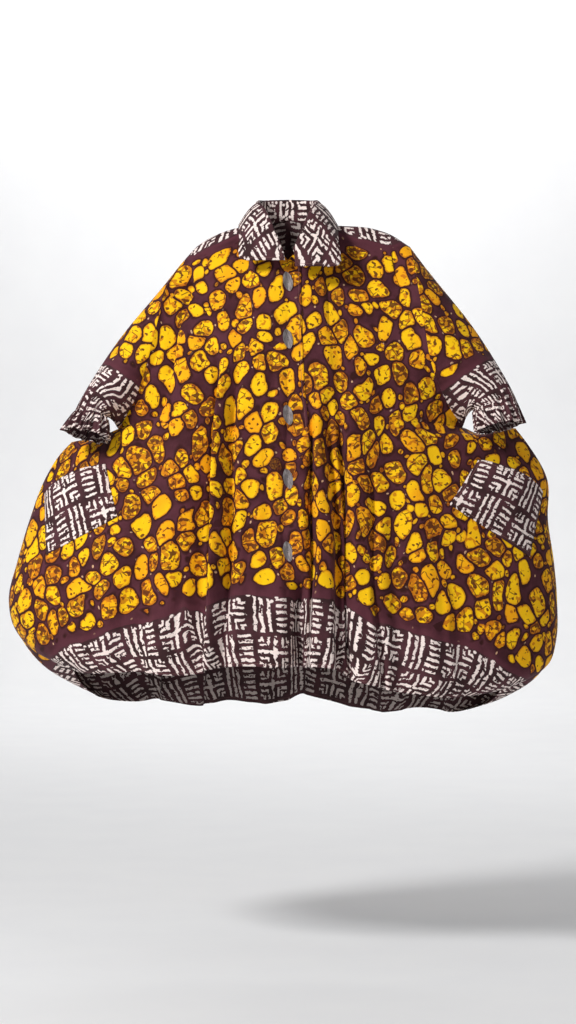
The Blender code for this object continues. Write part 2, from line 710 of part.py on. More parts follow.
def build_collar(cloth, seats):
    """The collar: up from the neckline, over the roll and down on the dress."""
    roll, edge = curve_through(COLLAR_ROLL), curve_through(COLLAR_EDGE)
    rows = []
    for side, share, seat in seats:
        flip = np.array([SIGN[side], 1.0, 1.0])
        roll_point, edge_point = roll(share) * flip, edge(share) * flip
        over = np.array([roll_point[0], roll_point[1], 0.0])
        rolled = roll_point + over / np.linalg.norm(over) * COLLAR_ROLL_WIDTH
        row = [seat, mix(seat, roll_point, COLLAR_STAND), roll_point, rolled]
        for step in range(1, COLLAR_FALL_STEPS + 1):
            v = step / COLLAR_FALL_STEPS
            point = mix(rolled, edge_point, v)
            point[2] += COLLAR_ARCH * math.sin(math.pi * v)
            clearance = WALL / 2 + mix(COLLAR_CLEAR, COLLAR_EDGE_CLEAR, v)
            row.append(lifted(cloth, point, clearance))
        rows.append(row)
    grid = np.array(rows)
    normals = normals_of(grid, gather_normals([(grid, False, 1.0)]))
    wall = wall_mesh(grid + normals * WALL / 2, grid - normals * WALL / 2, False)
    add_object("collar", wall, "marked_cloth")


def build_pocket(cloth, side):
    """A patch pocket, its mouth pushed open."""
    inner_top, outer_top, outer_low, inner_low = [np.array(corner) for corner in POCKET[side]]
    under, normals = [], []
    for r in range(POCKET_STEPS + 1):
        down = r / POCKET_STEPS
        row, way = [], []
        for c in range(POCKET_STEPS + 1):
            across = c / POCKET_STEPS
            x, z = mix(mix(inner_top, outer_top, across), mix(inner_low, outer_low, across), down)
            place, outside = dropped_on(cloth, x, z)
            wide, deep = math.sin(math.pi * across), math.cos(down * math.pi / 2)
            bulge = POCKET_BULGE * wide ** MOUTH_ROUND * deep ** BULGE_ROUND
            row.append(place + outside * (POCKET_SEAT + bulge))
            way.append(outside)
        under.append(row)
        normals.append(way)
    under, normals = np.array(under), np.array(normals)
    add_object("pocket_" + side, wall_mesh(under + normals * WALL, under, False), "marked_cloth")


def build_button(cloth, number, height):
    """A pointed oval button with a flat back that follows the cloth and a ridge down its front."""
    mesh = bmesh.new()
    lean_x, lean_z = math.sin(-BUTTON_LEAN), math.cos(BUTTON_LEAN)
    back, rim = [], []
    middle, outside = dropped_on(cloth, 0.0, height)
    for k in range(BUTTON_POINTS):
        angle = 2 * math.pi * k / BUTTON_POINTS
        along = BUTTON_HALF_LENGTH * math.cos(angle)
        across = BUTTON_HALF_WIDTH * math.copysign(abs(math.sin(angle)) ** BUTTON_POINTED, math.sin(angle))
        x = along * lean_x + across * lean_z
        z = height + along * lean_z - across * lean_x
        place, _ = dropped_on(cloth, x, z)
        back.append(mesh.verts.new(place + outside * LAYER_GAP))
        rim.append(mesh.verts.new(place + outside * (LAYER_GAP + BUTTON_THICK * BUTTON_RIM)))
    tops = []
    for along in (-BUTTON_RIDGE, BUTTON_RIDGE):
        x = along * BUTTON_HALF_LENGTH * lean_x
        z = height + along * BUTTON_HALF_LENGTH * lean_z
        place, _ = dropped_on(cloth, x, z)
        tops.append(mesh.verts.new(place + outside * (LAYER_GAP + BUTTON_THICK)))
    count = BUTTON_POINTS
    centre_back = mesh.verts.new(middle + outside * LAYER_GAP)
    for k in range(count):
        after = (k + 1) % count
        mesh.faces.new((back[k], back[after], rim[after], rim[k]))
        mesh.faces.new((back[after], back[k], centre_back))
    low, high = tops
    quarter = count // 4
    for k in range(count):
        after = (k + 1) % count
        upper = -quarter < ((k + 0.5 + count / 2) % count) - count / 2 < quarter
        mesh.faces.new((rim[k], rim[after], high if upper else low))
    mesh.faces.new((rim[quarter], low, high))
    mesh.faces.new((rim[3 * quarter], high, low))
    bmesh.ops.recalc_face_normals(mesh, faces=mesh.faces)
    bmesh.ops.triangulate(mesh, faces=[face for face in mesh.faces if len(face.verts) > 3])
    add_object("button_%d" % number, mesh, "horn")


def main():
    """Build every piece."""
    clear_scene()
    outers, inners = build_body()
    cloth = cloth_surface(outers)
    build_collar(cloth, neck_edge(outers, inners))
    for side in SIGN:
        build_pocket(cloth, side)
    for number, height in enumerate(BUTTON_Z, start=1):
        build_button(cloth, number, height)


main()
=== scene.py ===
# %% [markdown]
# # A tunic dress in printed cotton
# The dress is worn on the shoulders, so it hangs open with its sleeves held out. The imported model
# gives the frame: its solids are exact but plain. This lesson lays finer cloth on the same form,
# prints the cloth by shader maths alone, and adds the sewing.

# %% The frame
import math

import bpy
import numpy as np
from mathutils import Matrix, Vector
from mathutils.bvhtree import BVHTree


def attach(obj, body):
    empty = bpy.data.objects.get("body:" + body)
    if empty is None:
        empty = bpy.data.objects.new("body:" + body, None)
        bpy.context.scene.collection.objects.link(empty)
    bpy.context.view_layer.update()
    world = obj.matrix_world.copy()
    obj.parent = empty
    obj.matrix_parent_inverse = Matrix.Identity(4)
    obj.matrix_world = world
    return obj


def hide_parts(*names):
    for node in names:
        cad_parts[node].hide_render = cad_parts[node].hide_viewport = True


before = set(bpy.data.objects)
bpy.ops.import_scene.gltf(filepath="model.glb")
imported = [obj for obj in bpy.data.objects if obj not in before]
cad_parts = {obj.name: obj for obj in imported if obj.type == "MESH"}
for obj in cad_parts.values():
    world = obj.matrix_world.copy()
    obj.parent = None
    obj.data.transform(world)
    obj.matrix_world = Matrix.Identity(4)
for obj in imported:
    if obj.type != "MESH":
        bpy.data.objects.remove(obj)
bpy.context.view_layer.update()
print("solids:", sorted(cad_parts))

# %% [markdown]
# ## Camera, light and floor
# The picture was taken from a few metres away at hip height, so a long lens is used. Broad soft
# lamps and a pale sweep of floor and wall give a studio's even light.

# %% Camera, light and floor
CAMERA_PLACE = (0.0, -5.0, -0.58)
FLOOR_Z = -1.47

camera_data = bpy.data.cameras.new("camera")
camera_data.sensor_width = 36
camera_data.lens = 87.9
camera = bpy.data.objects.new("camera", camera_data)
camera.location = CAMERA_PLACE
camera.rotation_euler = (math.pi / 2, 0, 0)
bpy.context.scene.collection.objects.link(camera)
bpy.context.scene.camera = camera


def add_lamp(name, place, size, power, target):
    """A square soft lamp that shines at a place."""
    data = bpy.data.lights.new(name, "AREA")
    data.size = size
    data.energy = power
    lamp = bpy.data.objects.new(name, data)
    lamp.location = place
    lamp.rotation_euler = (Vector(target) - Vector(place)).to_track_quat("-Z", "Y").to_euler()
    bpy.context.scene.collection.objects.link(lamp)


DRESS_MIDDLE = (0.0, 0.0, -0.5)
add_lamp("key_lamp", (-2.6, -2.6, 1.9), 0.8, 162, DRESS_MIDDLE)
add_lamp("fill_lamp", (2.8, -3.2, 0.6), 2.4, 16, DRESS_MIDDLE)
add_lamp("back_lamp", (1.6, 3.6, 1.6), 1.6, 28, DRESS_MIDDLE)
add_lamp("wall_lamp", (0.0, 5.6, 3.7), 3.0, 180, (0.0, 8.4, -0.6))

world = bpy.data.worlds.new("studio")
bpy.context.scene.world = world
world.use_nodes = True
background = world.node_tree.nodes["Background"]
background.inputs["Color"].default_value = (0.93, 0.94, 0.96, 1)
background.inputs["Strength"].default_value = 0.26
# The standard view shows a material's colour as it is, so the print keeps its strong yellow.
bpy.context.scene.view_settings.view_transform = "Standard"

# %% [markdown]
# ## Shader maths in Python
# A printed cloth is a long sum. Written as nodes it would be unreadable, so one small class wraps a
# socket: adding two of them adds a Math node. Colours go through a Mix node, because a Math node
# would turn them grey.

# %% Shader maths
def operator(operation, swapped=False):
    """A method that adds one Math node; swapped is for a number that stands before the socket."""
    def method(self, *others):
        values = (*others, self) if swapped else (self, *others)
        return self.bench.add("ShaderNodeMath", {"operation": operation}, dict(enumerate(values)))

    return method


class Dye:
    """One value in a material, which Python's operators calculate with."""

    def __init__(self, bench, socket):
        self.bench = bench
        self.socket = socket

    __add__ = __radd__ = operator("ADD")
    __mul__ = __rmul__ = operator("MULTIPLY")
    __sub__ = operator("SUBTRACT")
    __rsub__ = operator("SUBTRACT", swapped=True)
    __truediv__ = operator("DIVIDE")
    __abs__ = operator("ABSOLUTE")

    least = operator("MINIMUM")
    most = operator("MAXIMUM")
    soft_least = operator("SMOOTH_MIN")
    fract = operator("FRACT")
    floor = operator("FLOOR")
    sine = operator("SINE")
    cosine = operator("COSINE")
    root = operator("SQRT")

    def __neg__(self):
        return self * -1.0

    def ramp(self, start, stop, low=0.0, high=1.0):
        """Smoothly from low at start to high at stop."""
        return self.bench.add("ShaderNodeMapRange", {"interpolation_type": "SMOOTHSTEP"},
                              {0: self, 1: start, 2: stop, 3: low, 4: high})


class Bench:
    """A material that is being made."""

    def __init__(self, name):
        self.material = bpy.data.materials.new(name)
        self.material.use_nodes = True
        self.tree = self.material.node_tree
        self.shader = self.tree.nodes["Principled BSDF"]

    def fill(self, socket, given):
        """A link or a value for one socket."""
        if isinstance(given, Dye):
            self.tree.links.new(given.socket, socket)
        else:
            socket.default_value = given

    def add(self, kind, settings=None, values=None, gives=0):
        """A node: its type, its settings, then the values or links of its sockets."""
        node = self.tree.nodes.new(kind)
        for key, setting in (settings or {}).items():
            setattr(node, key, setting)
        for key, given in (values or {}).items():
            self.fill(node.inputs[key], given)
        if isinstance(gives, tuple):
            return [Dye(self, node.outputs[name]) for name in gives]
        return Dye(self, node.outputs[gives])

    def colour(self, share, low, high):
        """A colour part of the way from low to high; a Mix node takes colours in its sockets 6 and 7."""
        return self.add("ShaderNodeMix", {"data_type": "RGBA"}, {0: share, 6: low, 7: high}, gives=2)

    def uv(self, title):
        """A place on one of the mesh's flat maps."""
        return self.add("ShaderNodeUVMap", {"uv_map": title}, gives="UV")

    def place(self, x, y):
        """A flat place from its two distances."""
        return self.add("ShaderNodeCombineXYZ", None, {0: x, 1: y})

    def split(self, place):
        """The three distances of a place."""
        return self.add("ShaderNodeSeparateXYZ", None, {0: place}, ("X", "Y", "Z"))

    def lots(self, colour):
        """Three chance numbers from 0 to 1, out of the colour that a pattern gives each cell."""
        return self.add("ShaderNodeSeparateColor", None, {0: colour}, ("Red", "Green", "Blue"))

    def noise(self, place, scale, detail=2.0, seed=0.0):
        """Soft noise from 0 to 1 on the flat cloth; the seed picks another stretch of it."""
        step = (seed, seed * 1.7, seed)
        moved = self.add("ShaderNodeVectorMath", {"operation": "ADD"}, {0: place, 1: step})
        return self.add("ShaderNodeTexNoise", {"noise_dimensions": "3D"},
                        {"Vector": moved, "Scale": scale, "Detail": detail}, gives="Fac")

    def wobble(self, place, scale, detail, seed=0.0):
        """The same noise from -0.5 to 0.5, which moves things to both sides."""
        return self.noise(place, scale, detail, seed) - 0.5

    def voronoi(self, place, cell, loose, feature="F1", gives=("Distance", "Color", "Position")):
        """A flat Voronoi pattern with cells of a size in metres."""
        return self.add("ShaderNodeTexVoronoi", {"voronoi_dimensions": "2D", "feature": feature},
                        {"Vector": place, "Scale": 1 / cell, "Randomness": loose}, gives)

    def bump(self, strength, height):
        """The surface's direction, bent by a height in metres."""
        values = {"Strength": strength, "Distance": 1.0, "Height": height}
        return self.add("ShaderNodeBump", None, values, "Normal")

    def set(self, **sockets):
        """Values or links of the shader's own sockets."""
        for key, given in sockets.items():
            self.fill(self.shader.inputs[key.replace("_", " ")], given)


def printed(red, green, blue):
    """A colour as it is picked on a screen, turned into the light values that a shader uses."""
    return tuple(((c / 255 + 0.055) / 1.055) ** 2.4 for c in (red, green, blue)) + (1.0,)


print("bench ready")

# %% [markdown]
# ## Floor and wall
# One curved sheet runs from the floor up behind the dress, so that no corner shows. Its wall stands far
# behind, so that the dress can be looked at from all round.

# %% Floor and wall
sweep = Bench("pale_paper")
paper = sweep.add("ShaderNodeTexCoord", gives="Object")
pale = sweep.colour(sweep.noise(paper, 6.0), (0.86, 0.86, 0.87, 1), (0.9, 0.9, 0.9, 1))
sweep.set(Base_Color=pale, Roughness=0.9)
WALL_Y, SWEEP_ROUND, SWEEP_REACH = 8.4, 1.6, 7.0
turns = np.linspace(0.0, math.pi / 2, 16)
profile = [(-SWEEP_REACH, 0.0)]
profile += [(WALL_Y - SWEEP_ROUND * (1 - math.sin(a)), SWEEP_ROUND * (1 - math.cos(a))) for a in turns]
profile += [(WALL_Y, SWEEP_REACH)]
verts = [(x, y, FLOOR_Z + z) for y, z in profile for x in (-SWEEP_REACH, SWEEP_REACH)]
faces = [(2 * k, 2 * k + 1, 2 * k + 3, 2 * k + 2) for k in range(len(profile) - 1)]
floor_mesh = bpy.data.meshes.new("floor")
floor_mesh.from_pydata(verts, [], faces)
floor_mesh.materials.append(sweep.material)
floor_mesh.shade_smooth()
floor = bpy.data.objects.new("floor", floor_mesh)
bpy.context.scene.collection.objects.link(floor)
print("floor at", FLOOR_Z)

# %% [markdown]
# ## The cut
# These tables repeat the outline of the solids: shoulder seam, armhole, the top of the side, and
# the side seam, seen from the front. Each front or back half is one curved sheet between them. The
# letter s means the share of the way out from the middle, and t the share of the way down.

# %% The cut
def metres(rows):
    """Rows of millimetres as rows of metres."""
    return [tuple(value / 1000 for value in row) for row in rows]


WALL, LAYER_GAP = 0.0014, 0.0005
SIGN = {"right": -1.0, "left": 1.0}
FACING = {"front": -1.0, "back": 1.0}
NECK_HALF, NECK_SIDE_Z = 0.070, -0.006
NECK_Y = {"front": -0.088, "back": 0.060}
NECK_Z = {"front": -0.085, "back": 0.010}
S_NECK, T_UNDERARM, T_CORNER = 0.18, 0.36, 0.46
FRONT_OVERLAP, OVERLAP_FADE = 0.03, 0.18
# Points of the seams from the neck to the hem, seen from the front. Columns: x and z in millimetres
SEAMS = {
    "right": {
        "shoulder": [(-110, -14), (-148, -28), (-178, -46), (-212, -82)],
        "armhole": [(-240, -136), (-258, -216), (-278, -296), (-302, -360), (-336, -416)],
        "side_top": [(-369, -424), (-402, -432), (-434, -440)],
        "side": [(-458, -466), (-488, -516), (-518, -596), (-541, -676), (-558, -756),
                 (-550, -800), (-520, -842), (-474, -868), (-436, -882)],
    },
    "left": {
        "shoulder": [(110, -8), (162, -12), (202, -24), (244, -50)],
        "armhole": [(252, -106), (266, -200), (284, -300), (312, -362), (346, -412)],
        "side_top": [(386, -421), (421, -416), (456, -412)],
        "side": [(482, -446), (520, -516), (521, -596), (532, -676), (538, -756),
                 (536, -830), (524, -872), (480, -902), (438, -914)],
    },
}
ARMHOLE_DEPTH = {"front": -0.088, "back": 0.100}
ARMHOLE_ROUND = 0.6
UNDERARM_Y, SIDE_SEAM_Y = -0.036, 0.012
UNDERARM_SAG = {"right": (-0.382, -0.440, 0.010), "left": (0.382, -0.424, 0.004)}
SAG_WIDTH, SAG_HEIGHT = 0.024, 0.070
# Columns: share of the way down, y
MIDDLE_Y = {
    "front": [(0.0, -0.088), (0.10, -0.116), (0.22, -0.138), (0.45, -0.160), (0.75, -0.200), (1.0, -0.232)],
    "back": [(0.0, 0.060), (0.10, 0.112), (0.22, 0.134), (0.45, 0.168), (0.75, 0.222), (1.0, 0.262)],
}
HEM_MIDDLE_Z = {"front": -0.878, "back": -0.976}
# Columns: share of the way out to the side seam, z
HEM_Z = {
    ("front", "right"): [(0.0, -0.878), (0.19, -0.878), (0.28, -0.892), (0.46, -0.889),
                         (0.72, -0.895), (1.0, -0.882)],
    ("front", "left"): [(0.0, -0.878), (0.12, -0.879), (0.22, -0.908), (0.42, -0.934),
                        (0.72, -0.933), (1.0, -0.914)],
    ("back", "right"): [(0.0, -0.970), (0.06, -0.977), (0.18, -0.972), (0.30, -0.982), (0.42, -0.968),
                        (0.55, -0.972), (0.80, -0.940), (1.0, -0.882)],
    ("back", "left"): [(0.0, -0.970), (0.045, -0.955), (0.09, -0.964), (0.18, -0.984), (0.30, -0.996),
                       (0.42, -0.986), (0.55, -0.994), (0.80, -0.965), (1.0, -0.914)],
}
SHOULDER_ROUND, SHOULDER_SPAN, SHOULDER_FADE = 0.6, 0.40, 2.2
SIDE_ROUND = [(0.0, 1.0), (0.30, 1.2), (0.46, 1.4), (0.70, 0.85), (1.0, 0.72)]


def mix(a, b, share):
    """A value part of the way from a to b."""
    return a + (b - a) * share


def smooth_step(value, start, stop):
    """0 before start, 1 after stop, smooth between."""
    u = np.clip((value - start) / (stop - start), 0.0, 1.0)
    return u * u * (3.0 - 2.0 * u)


def bend(u, first, leave, last, arrive):
    """A place on a smooth curve from first to last, with the ways it leaves and arrives."""
    return ((2 * u ** 3 - 3 * u ** 2 + 1) * first + (u ** 3 - 2 * u ** 2 + u) * leave
            + (3 * u ** 2 - 2 * u ** 3) * last + (u ** 3 - u ** 2) * arrive)


def curve_through(rows):
    """A smooth curve through points given with their places along it in the first column."""
    table = np.array(rows, dtype=float)
    places, points = table[:, 0], table[:, 1:]
    slopes = np.gradient(points, places, axis=0)

    def at(place):
        place = np.clip(np.atleast_1d(place), places[0], places[-1])
        k = np.clip(np.searchsorted(places, place, side="right") - 1, 0, len(places) - 2)
        span = (places[k + 1] - places[k])[:, None]
        u = (place - places[k])[:, None] / span
        return bend(u, points[k], span * slopes[k], points[k + 1], span * slopes[k + 1])

    return at


def by_length(points):
    """The same curve, its places worked out from the distances between the points."""
    points = np.array(points, dtype=float)
    steps = np.linalg.norm(np.diff(points, axis=0), axis=1)
    places = np.concatenate([[0.0], np.cumsum(steps)]) / steps.sum()
    return curve_through(np.column_stack([places, points]))


CURVES = {}
for side, seams in SEAMS.items():
    start = [(SIGN[side] * NECK_HALF, NECK_SIDE_Z)]
    for seam, points in seams.items():
        CURVES[(side, seam)] = by_length(start + metres(points))
        start = metres(points[-1:])
print("outline curves:", len(CURVES))

# %% [markdown]
# ## Folds
# The solids carry the largest folds. The cloth also has narrower creases between them: each is a soft
# trough or ridge along a leaning line, with its own length and depth. The back and the sides get
# similar ones.

# %% Folds
CHEST_Z, HEM_Z_MEAN, CREASE_SWAY, FOLD_GROWTH = -0.20, -0.90, 0.004, 0.7
# In millimetres, as the next two tables. Columns: x at the chest, x at the hem, z where the fold starts,
# half width, how far it stands out
FOLDS = {
    "front": metres([
        (-126, -148, -160, 21, 16), (-160, -182, -160, 19, -18), (-60, -75, -350, 24, -8),
        (-215, -245, -250, 24, 10), (-250, -300, -300, 24, -10), (-290, -360, -600, 26, 10),
        (16, 17, -670, 16.5, -58), (50, 46, -300, 14, 4), (76, 80, -220, 20, 12), (100, 120, -220, 19, -18),
        (130, 160, -250, 22, 14), (180, 215, -250, 22, -12), (225, 280, -300, 24, 10),
        (270, 350, -600, 26, -10),
    ]),
    "back": metres([
        (-40, -55, -140, 24, -16), (-90, -115, -140, 24, 18), (-140, -180, -160, 24, -18),
        (-185, -245, -200, 24, 16), (-230, -305, -300, 24, -14), (-280, -365, -450, 26, 10),
        (30, 34, -140, 22, -20), (80, 105, -140, 24, 18), (130, 165, -160, 24, 18),
        (180, 230, -200, 24, -16), (230, 295, -300, 24, 14), (280, 360, -450, 26, -10),
    ]),
}
# Columns: x and z of the upper end, x and z of the lower end, half width, how far it stands out
CREASES = {
    "front": metres([
        (-142, -240, -160, -920, 8.5, -26), (-98, -260, -128, -900, 8, -22), (-4, -240, -6, -900, 5, -4),
        (-30, -200, -40, -620, 9, -2.5), (-192, -80, -240, -300, 9.5, -15),
        (-244, -150, -292, -360, 9, -11), (-218, -300, -300, -460, 11, -8), (-290, -430, -340, -560, 11, 6),
        (-85, -460, -98, -900, 8, 3.5), (-110, -560, -122, -900, 7, -3.5), (-250, -680, -262, -900, 9, 4),
        (-310, -700, -330, -900, 9, -4), (-210, -600, -214, -900, 8, -4), (-380, -720, -400, -890, 10, 4),
        (52, -380, 40, -920, 8, -22), (82, -340, 104, -920, 8, -23), (106, -380, 136, -950, 7.8, -20),
        (156, -460, 182, -950, 8.5, -13), (212, -40, 298, -310, 10.5, -30), (282, -320, 330, -400, 10, -10),
        (20, -600, 14, -900, 6, 4), (140, -520, 160, -920, 8, -4), (190, -500, 200, -920, 9, 4),
        (240, -620, 262, -930, 9, -4.5), (300, -700, 322, -930, 9, 4), (210, -220, 250, -360, 11, -4),
        (370, -740, 390, -930, 10, -4), (150, -100, 200, -200, 12, -3), (17, -700, 16, -900, 7.5, -24),
    ]),
    "back": metres([
        (-18, -200, -28, -980, 8, 5), (-66, -220, -90, -980, 7, -7), (-115, -240, -150, -980, 7, -7),
        (-165, -300, -215, -960, 8, 5), (-205, -360, -270, -960, 8, -6), (-255, -500, -330, -940, 9, 4.5),
        (-240, -160, -285, -360, 10, -5), (-330, -600, -390, -920, 10, -4), (12, -200, 18, -980, 8, -6),
        (58, -220, 74, -980, 7, -7), (105, -240, 134, -980, 7, 6), (155, -300, 198, -980, 8, -7),
        (205, -360, 262, -970, 8, 5), (255, -500, 325, -950, 9, -5), (250, -140, 290, -360, 10, -5),
        (330, -600, 400, -940, 10, 4),
    ]),
}
# Pleats, whose ridge leans over the hollow beside it. Columns as above, then how far it leans to +X
PLEATS = {
    "front": metres([
        (-112, -220, -152, -920, 12.5, 9, -11), (-156, -300, -176, -920, 11, -7, 3),
        (-60, -420, -74, -920, 13, 5, 5), (70, -280, 58, -920, 12, 8.5, -10),
        (117, -300, 142, -960, 12, 9, -11), (26, -340, 20, -920, 12, 6, 6),
        (180, -500, 200, -960, 14, 6, -6),
    ]),
    "back": metres([
        (-52, -200, -72, -1020, 12.5, 8, 9), (-128, -240, -168, -1020, 12.5, 8, -10),
        (-190, -340, -250, -1000, 13, 7, -8), (40, -200, 52, -1020, 12.5, 8, -9),
        (118, -240, 150, -1020, 12.5, 8, 10), (182, -340, 236, -1000, 13, 7, 8),
    ]),
}


def hump(distance, width):
    """1 in the middle, falling to 0 on both sides."""
    return np.exp(-(distance / width) ** 2)


def crease_profile(x, z, x_top, z_top, x_low, z_low, width):
    """1 on the slightly wavy line of a crease, 0 away from it and beyond its ends."""
    along = (z_top - z) / (z_top - z_low)
    line = mix(x_top, x_low, along) + CREASE_SWAY * np.sin(9.0 * along + 40.0 * x_top)
    ends = smooth_step(along, -0.02, 0.24) * (1.0 - smooth_step(along, 1.02, 1.12))
    return ends * hump(x - line, width)


def fold_height(face, x, z):
    """How far the folds and creases push the cloth out at each place, and to the side."""
    height, sideways = np.zeros_like(x), np.zeros_like(x)
    for x_chest, x_hem, z_start, width, depth in FOLDS[face]:
        grown = np.clip((z_start - z) / (z_start - HEM_Z_MEAN), 0.0, 1.0)
        line = mix(x_chest, x_hem, (CHEST_Z - z) / (CHEST_Z - HEM_Z_MEAN))
        height += depth * grown ** FOLD_GROWTH * hump(x - line, width)
    for *line, depth in CREASES[face]:
        height += depth * crease_profile(x, z, *line)
    for *line, depth, lean in PLEATS[face]:
        profile = crease_profile(x, z, *line)
        height += depth * profile
        sideways += lean * profile
    return height, sideways


print("folds, creases, pleats:", [sum(map(len, table.values())) for table in (FOLDS, CREASES, PLEATS)])

# %% [markdown]
# ## The sheets
# A sheet runs down from the neck and shoulder (t = 0) to the hem (t = 1), and out from the middle
# (s = 0) to the armhole and the side seam (s = 1). Its inside is blended from its four edges, then
# rounded towards the sides. Numpy works out all of its points at once.

# %% The sheets
def armhole(face, side, share):
    """Points of the armhole seam: share 0 is the shoulder, 1 is the underarm."""
    xz = CURVES[(side, "armhole")](share)
    power = mix(ARMHOLE_ROUND, 1.0, share)
    bulge = np.clip(np.sin(np.pi * share), 0.0, 1.0) ** power
    return np.column_stack([xz[:, 0], ARMHOLE_DEPTH[face] * bulge + UNDERARM_Y * share, xz[:, 1]])


def top_edge(face, side, s):
    """Neckline, then shoulder seam."""
    turn = np.clip(s / S_NECK, 0.0, 1.0) * np.pi / 2
    neck = np.column_stack([SIGN[side] * NECK_HALF * np.sin(turn), NECK_Y[face] * np.cos(turn),
                            mix(NECK_Z[face], NECK_SIDE_Z, np.sin(turn))])
    xz = CURVES[(side, "shoulder")]((s - S_NECK) / (1.0 - S_NECK))
    shoulder = np.column_stack([xz[:, 0], np.zeros(len(s)), xz[:, 1]])
    return np.where((s <= S_NECK)[:, None], neck, shoulder)


def side_edge(face, side, t):
    """Armhole, then the top of the side, then the side seam."""
    arm = armhole(face, side, np.clip(t / T_UNDERARM, 0.0, 1.0))
    share = np.clip((t - T_UNDERARM) / (T_CORNER - T_UNDERARM), 0.0, 1.0)
    xz = CURVES[(side, "side_top")](share)
    top = np.column_stack([xz[:, 0], mix(UNDERARM_Y, SIDE_SEAM_Y, share), xz[:, 1]])
    xz = CURVES[(side, "side")]((t - T_CORNER) / (1.0 - T_CORNER))
    seam = np.column_stack([xz[:, 0], np.full(len(t), SIDE_SEAM_Y), xz[:, 1]])
    return np.where((t <= T_UNDERARM)[:, None], arm, np.where((t <= T_CORNER)[:, None], top, seam))


def sheet_points(face, side, s, t):
    """All points of one half: a row for each t, a column for each s."""
    turn = s * np.pi / 2
    out = mix(s[None, :], np.sin(turn)[None, :], smooth_step(t, 0.0, T_CORNER)[:, None])[..., None]
    corner_x = SEAMS[side]["side"][-1][0] / 1000
    hem_y = mix(SIDE_SEAM_Y, MIDDLE_Y[face][-1][1], np.clip(np.cos(turn), 0, 1) ** SIDE_ROUND[-1][1])
    hem = np.column_stack([corner_x * np.sin(turn), hem_y, curve_through(HEM_Z[(face, side)])(s)[:, 0]])
    middle_y = curve_through(MIDDLE_Y[face])(t)[:, 0]
    middle = np.column_stack([np.zeros(len(t)), middle_y, mix(NECK_Z[face], HEM_MIDDLE_Z[face], t)])
    top, seam = top_edge(face, side, s), side_edge(face, side, t)
    down = (1.0 - (1.0 - t) ** SHOULDER_FADE)[:, None, None]
    corners = mix(mix(top[0], top[-1], out), mix(hem[0], hem[-1], out), down)
    points = mix(top[None], hem[None], down) + mix(middle[:, None], seam[:, None], out) - corners
    below = np.sin(np.pi / 2 * np.minimum(1.0, t / SHOULDER_SPAN)) ** SHOULDER_ROUND
    power = curve_through(SIDE_ROUND)(t)[:, 0]
    rounding = np.clip(np.cos(turn), 0, 1)[None, :] ** power[:, None]
    rounded = mix(seam[:, 1][:, None], middle_y[:, None], rounding)
    points[..., 1] = mix(top[:, 1][None, :], rounded, below[:, None])
    points[..., 1] += (s ** 4)[None, :] * (1.0 - below)[:, None] * seam[:, 1][:, None]
    push, aside = fold_height(face, points[..., 0], points[..., 2])
    push, aside = push * (1.0 - s ** 8)[None, :], aside * (1.0 - s ** 8)[None, :]
    points[..., 0] += SIGN[side] * np.sin(turn)[None, :] * push + aside
    points[..., 1] += FACING[face] * np.cos(turn)[None, :] * push
    sag_x, sag_z, sag_depth = UNDERARM_SAG[side]
    near = hump(points[..., 0] - sag_x, SAG_WIDTH) * hump(points[..., 2] - sag_z, SAG_HEIGHT)
    points[..., 2] -= sag_depth * near * smooth_step(t, T_UNDERARM, T_UNDERARM + 0.02)[:, None]
    return points


# Rows and columns stand closest where the cloth has most creases
HALF_COLUMNS = {
    "front": np.unique(np.concatenate([
        np.linspace(0, FRONT_OVERLAP, 9), np.linspace(FRONT_OVERLAP, S_NECK, 36),
        np.linspace(S_NECK, 0.42, 52), np.linspace(0.42, 1.0, 92)]).round(6)),
    "back": np.unique(np.concatenate([
        [0.0, 0.01, 0.02, FRONT_OVERLAP], np.linspace(FRONT_OVERLAP, S_NECK, 22),
        S_NECK + (1 - S_NECK) * np.linspace(0, 1, 108) ** 1.1]).round(6)),
}
SHEET_ROWS = np.unique(np.concatenate([
    T_UNDERARM * (0.4 * np.linspace(0, 1, 56) + 0.3 * (1 - np.cos(np.pi * np.linspace(0, 1, 56)))),
    np.linspace(T_UNDERARM, T_CORNER, 18), np.linspace(T_CORNER, 1.0, 104)]).round(6))
print("columns of a half", {face: len(s) for face, s in HALF_COLUMNS.items()}, "rows", len(SHEET_ROWS))

# %% [markdown]
# ## Flat cloth
# The print belongs to the flat cloth, not to the shape that it hangs in. So each sheet is laid flat
# again with as little stretching as can be. Every triangle is turned, without being stretched, to lie
# best over its present place; then all corners move to the best agreement between the triangles.
# A few rounds of the two steps are enough. A flat place is a complex number here, u + iv, because a
# turn is then one multiplication.

# %% Laying a sheet flat
FLATTEN_ROUNDS, SETTLE_STEPS, SETTLED = 12, 60, 1e-14


def triangles_of(rows, columns):
    """Corner numbers of all triangles of a grid, with both diagonals of each square."""
    index = np.arange(rows * columns).reshape(rows, columns)
    a, b, c, d = (part.ravel() for part in (index[:-1, :-1], index[:-1, 1:], index[1:, 1:], index[1:, :-1]))
    return np.concatenate([np.stack(three, 1) for three in ((a, b, c), (a, c, d), (a, b, d), (b, c, d))])


def flat_triangles(points, corners):
    """Each triangle in its own plane, at its true size."""
    first, second, third = (points[corners[:, k]] for k in range(3))
    length = np.linalg.norm(second - first, axis=1)
    along = (second - first) / length[:, None]
    x = ((third - first) * along).sum(1)
    y = np.linalg.norm((third - first) - along * x[:, None], axis=1)
    return np.stack([np.zeros_like(x) + 0j, length + 0j, x - 1j * y], 1), length * y


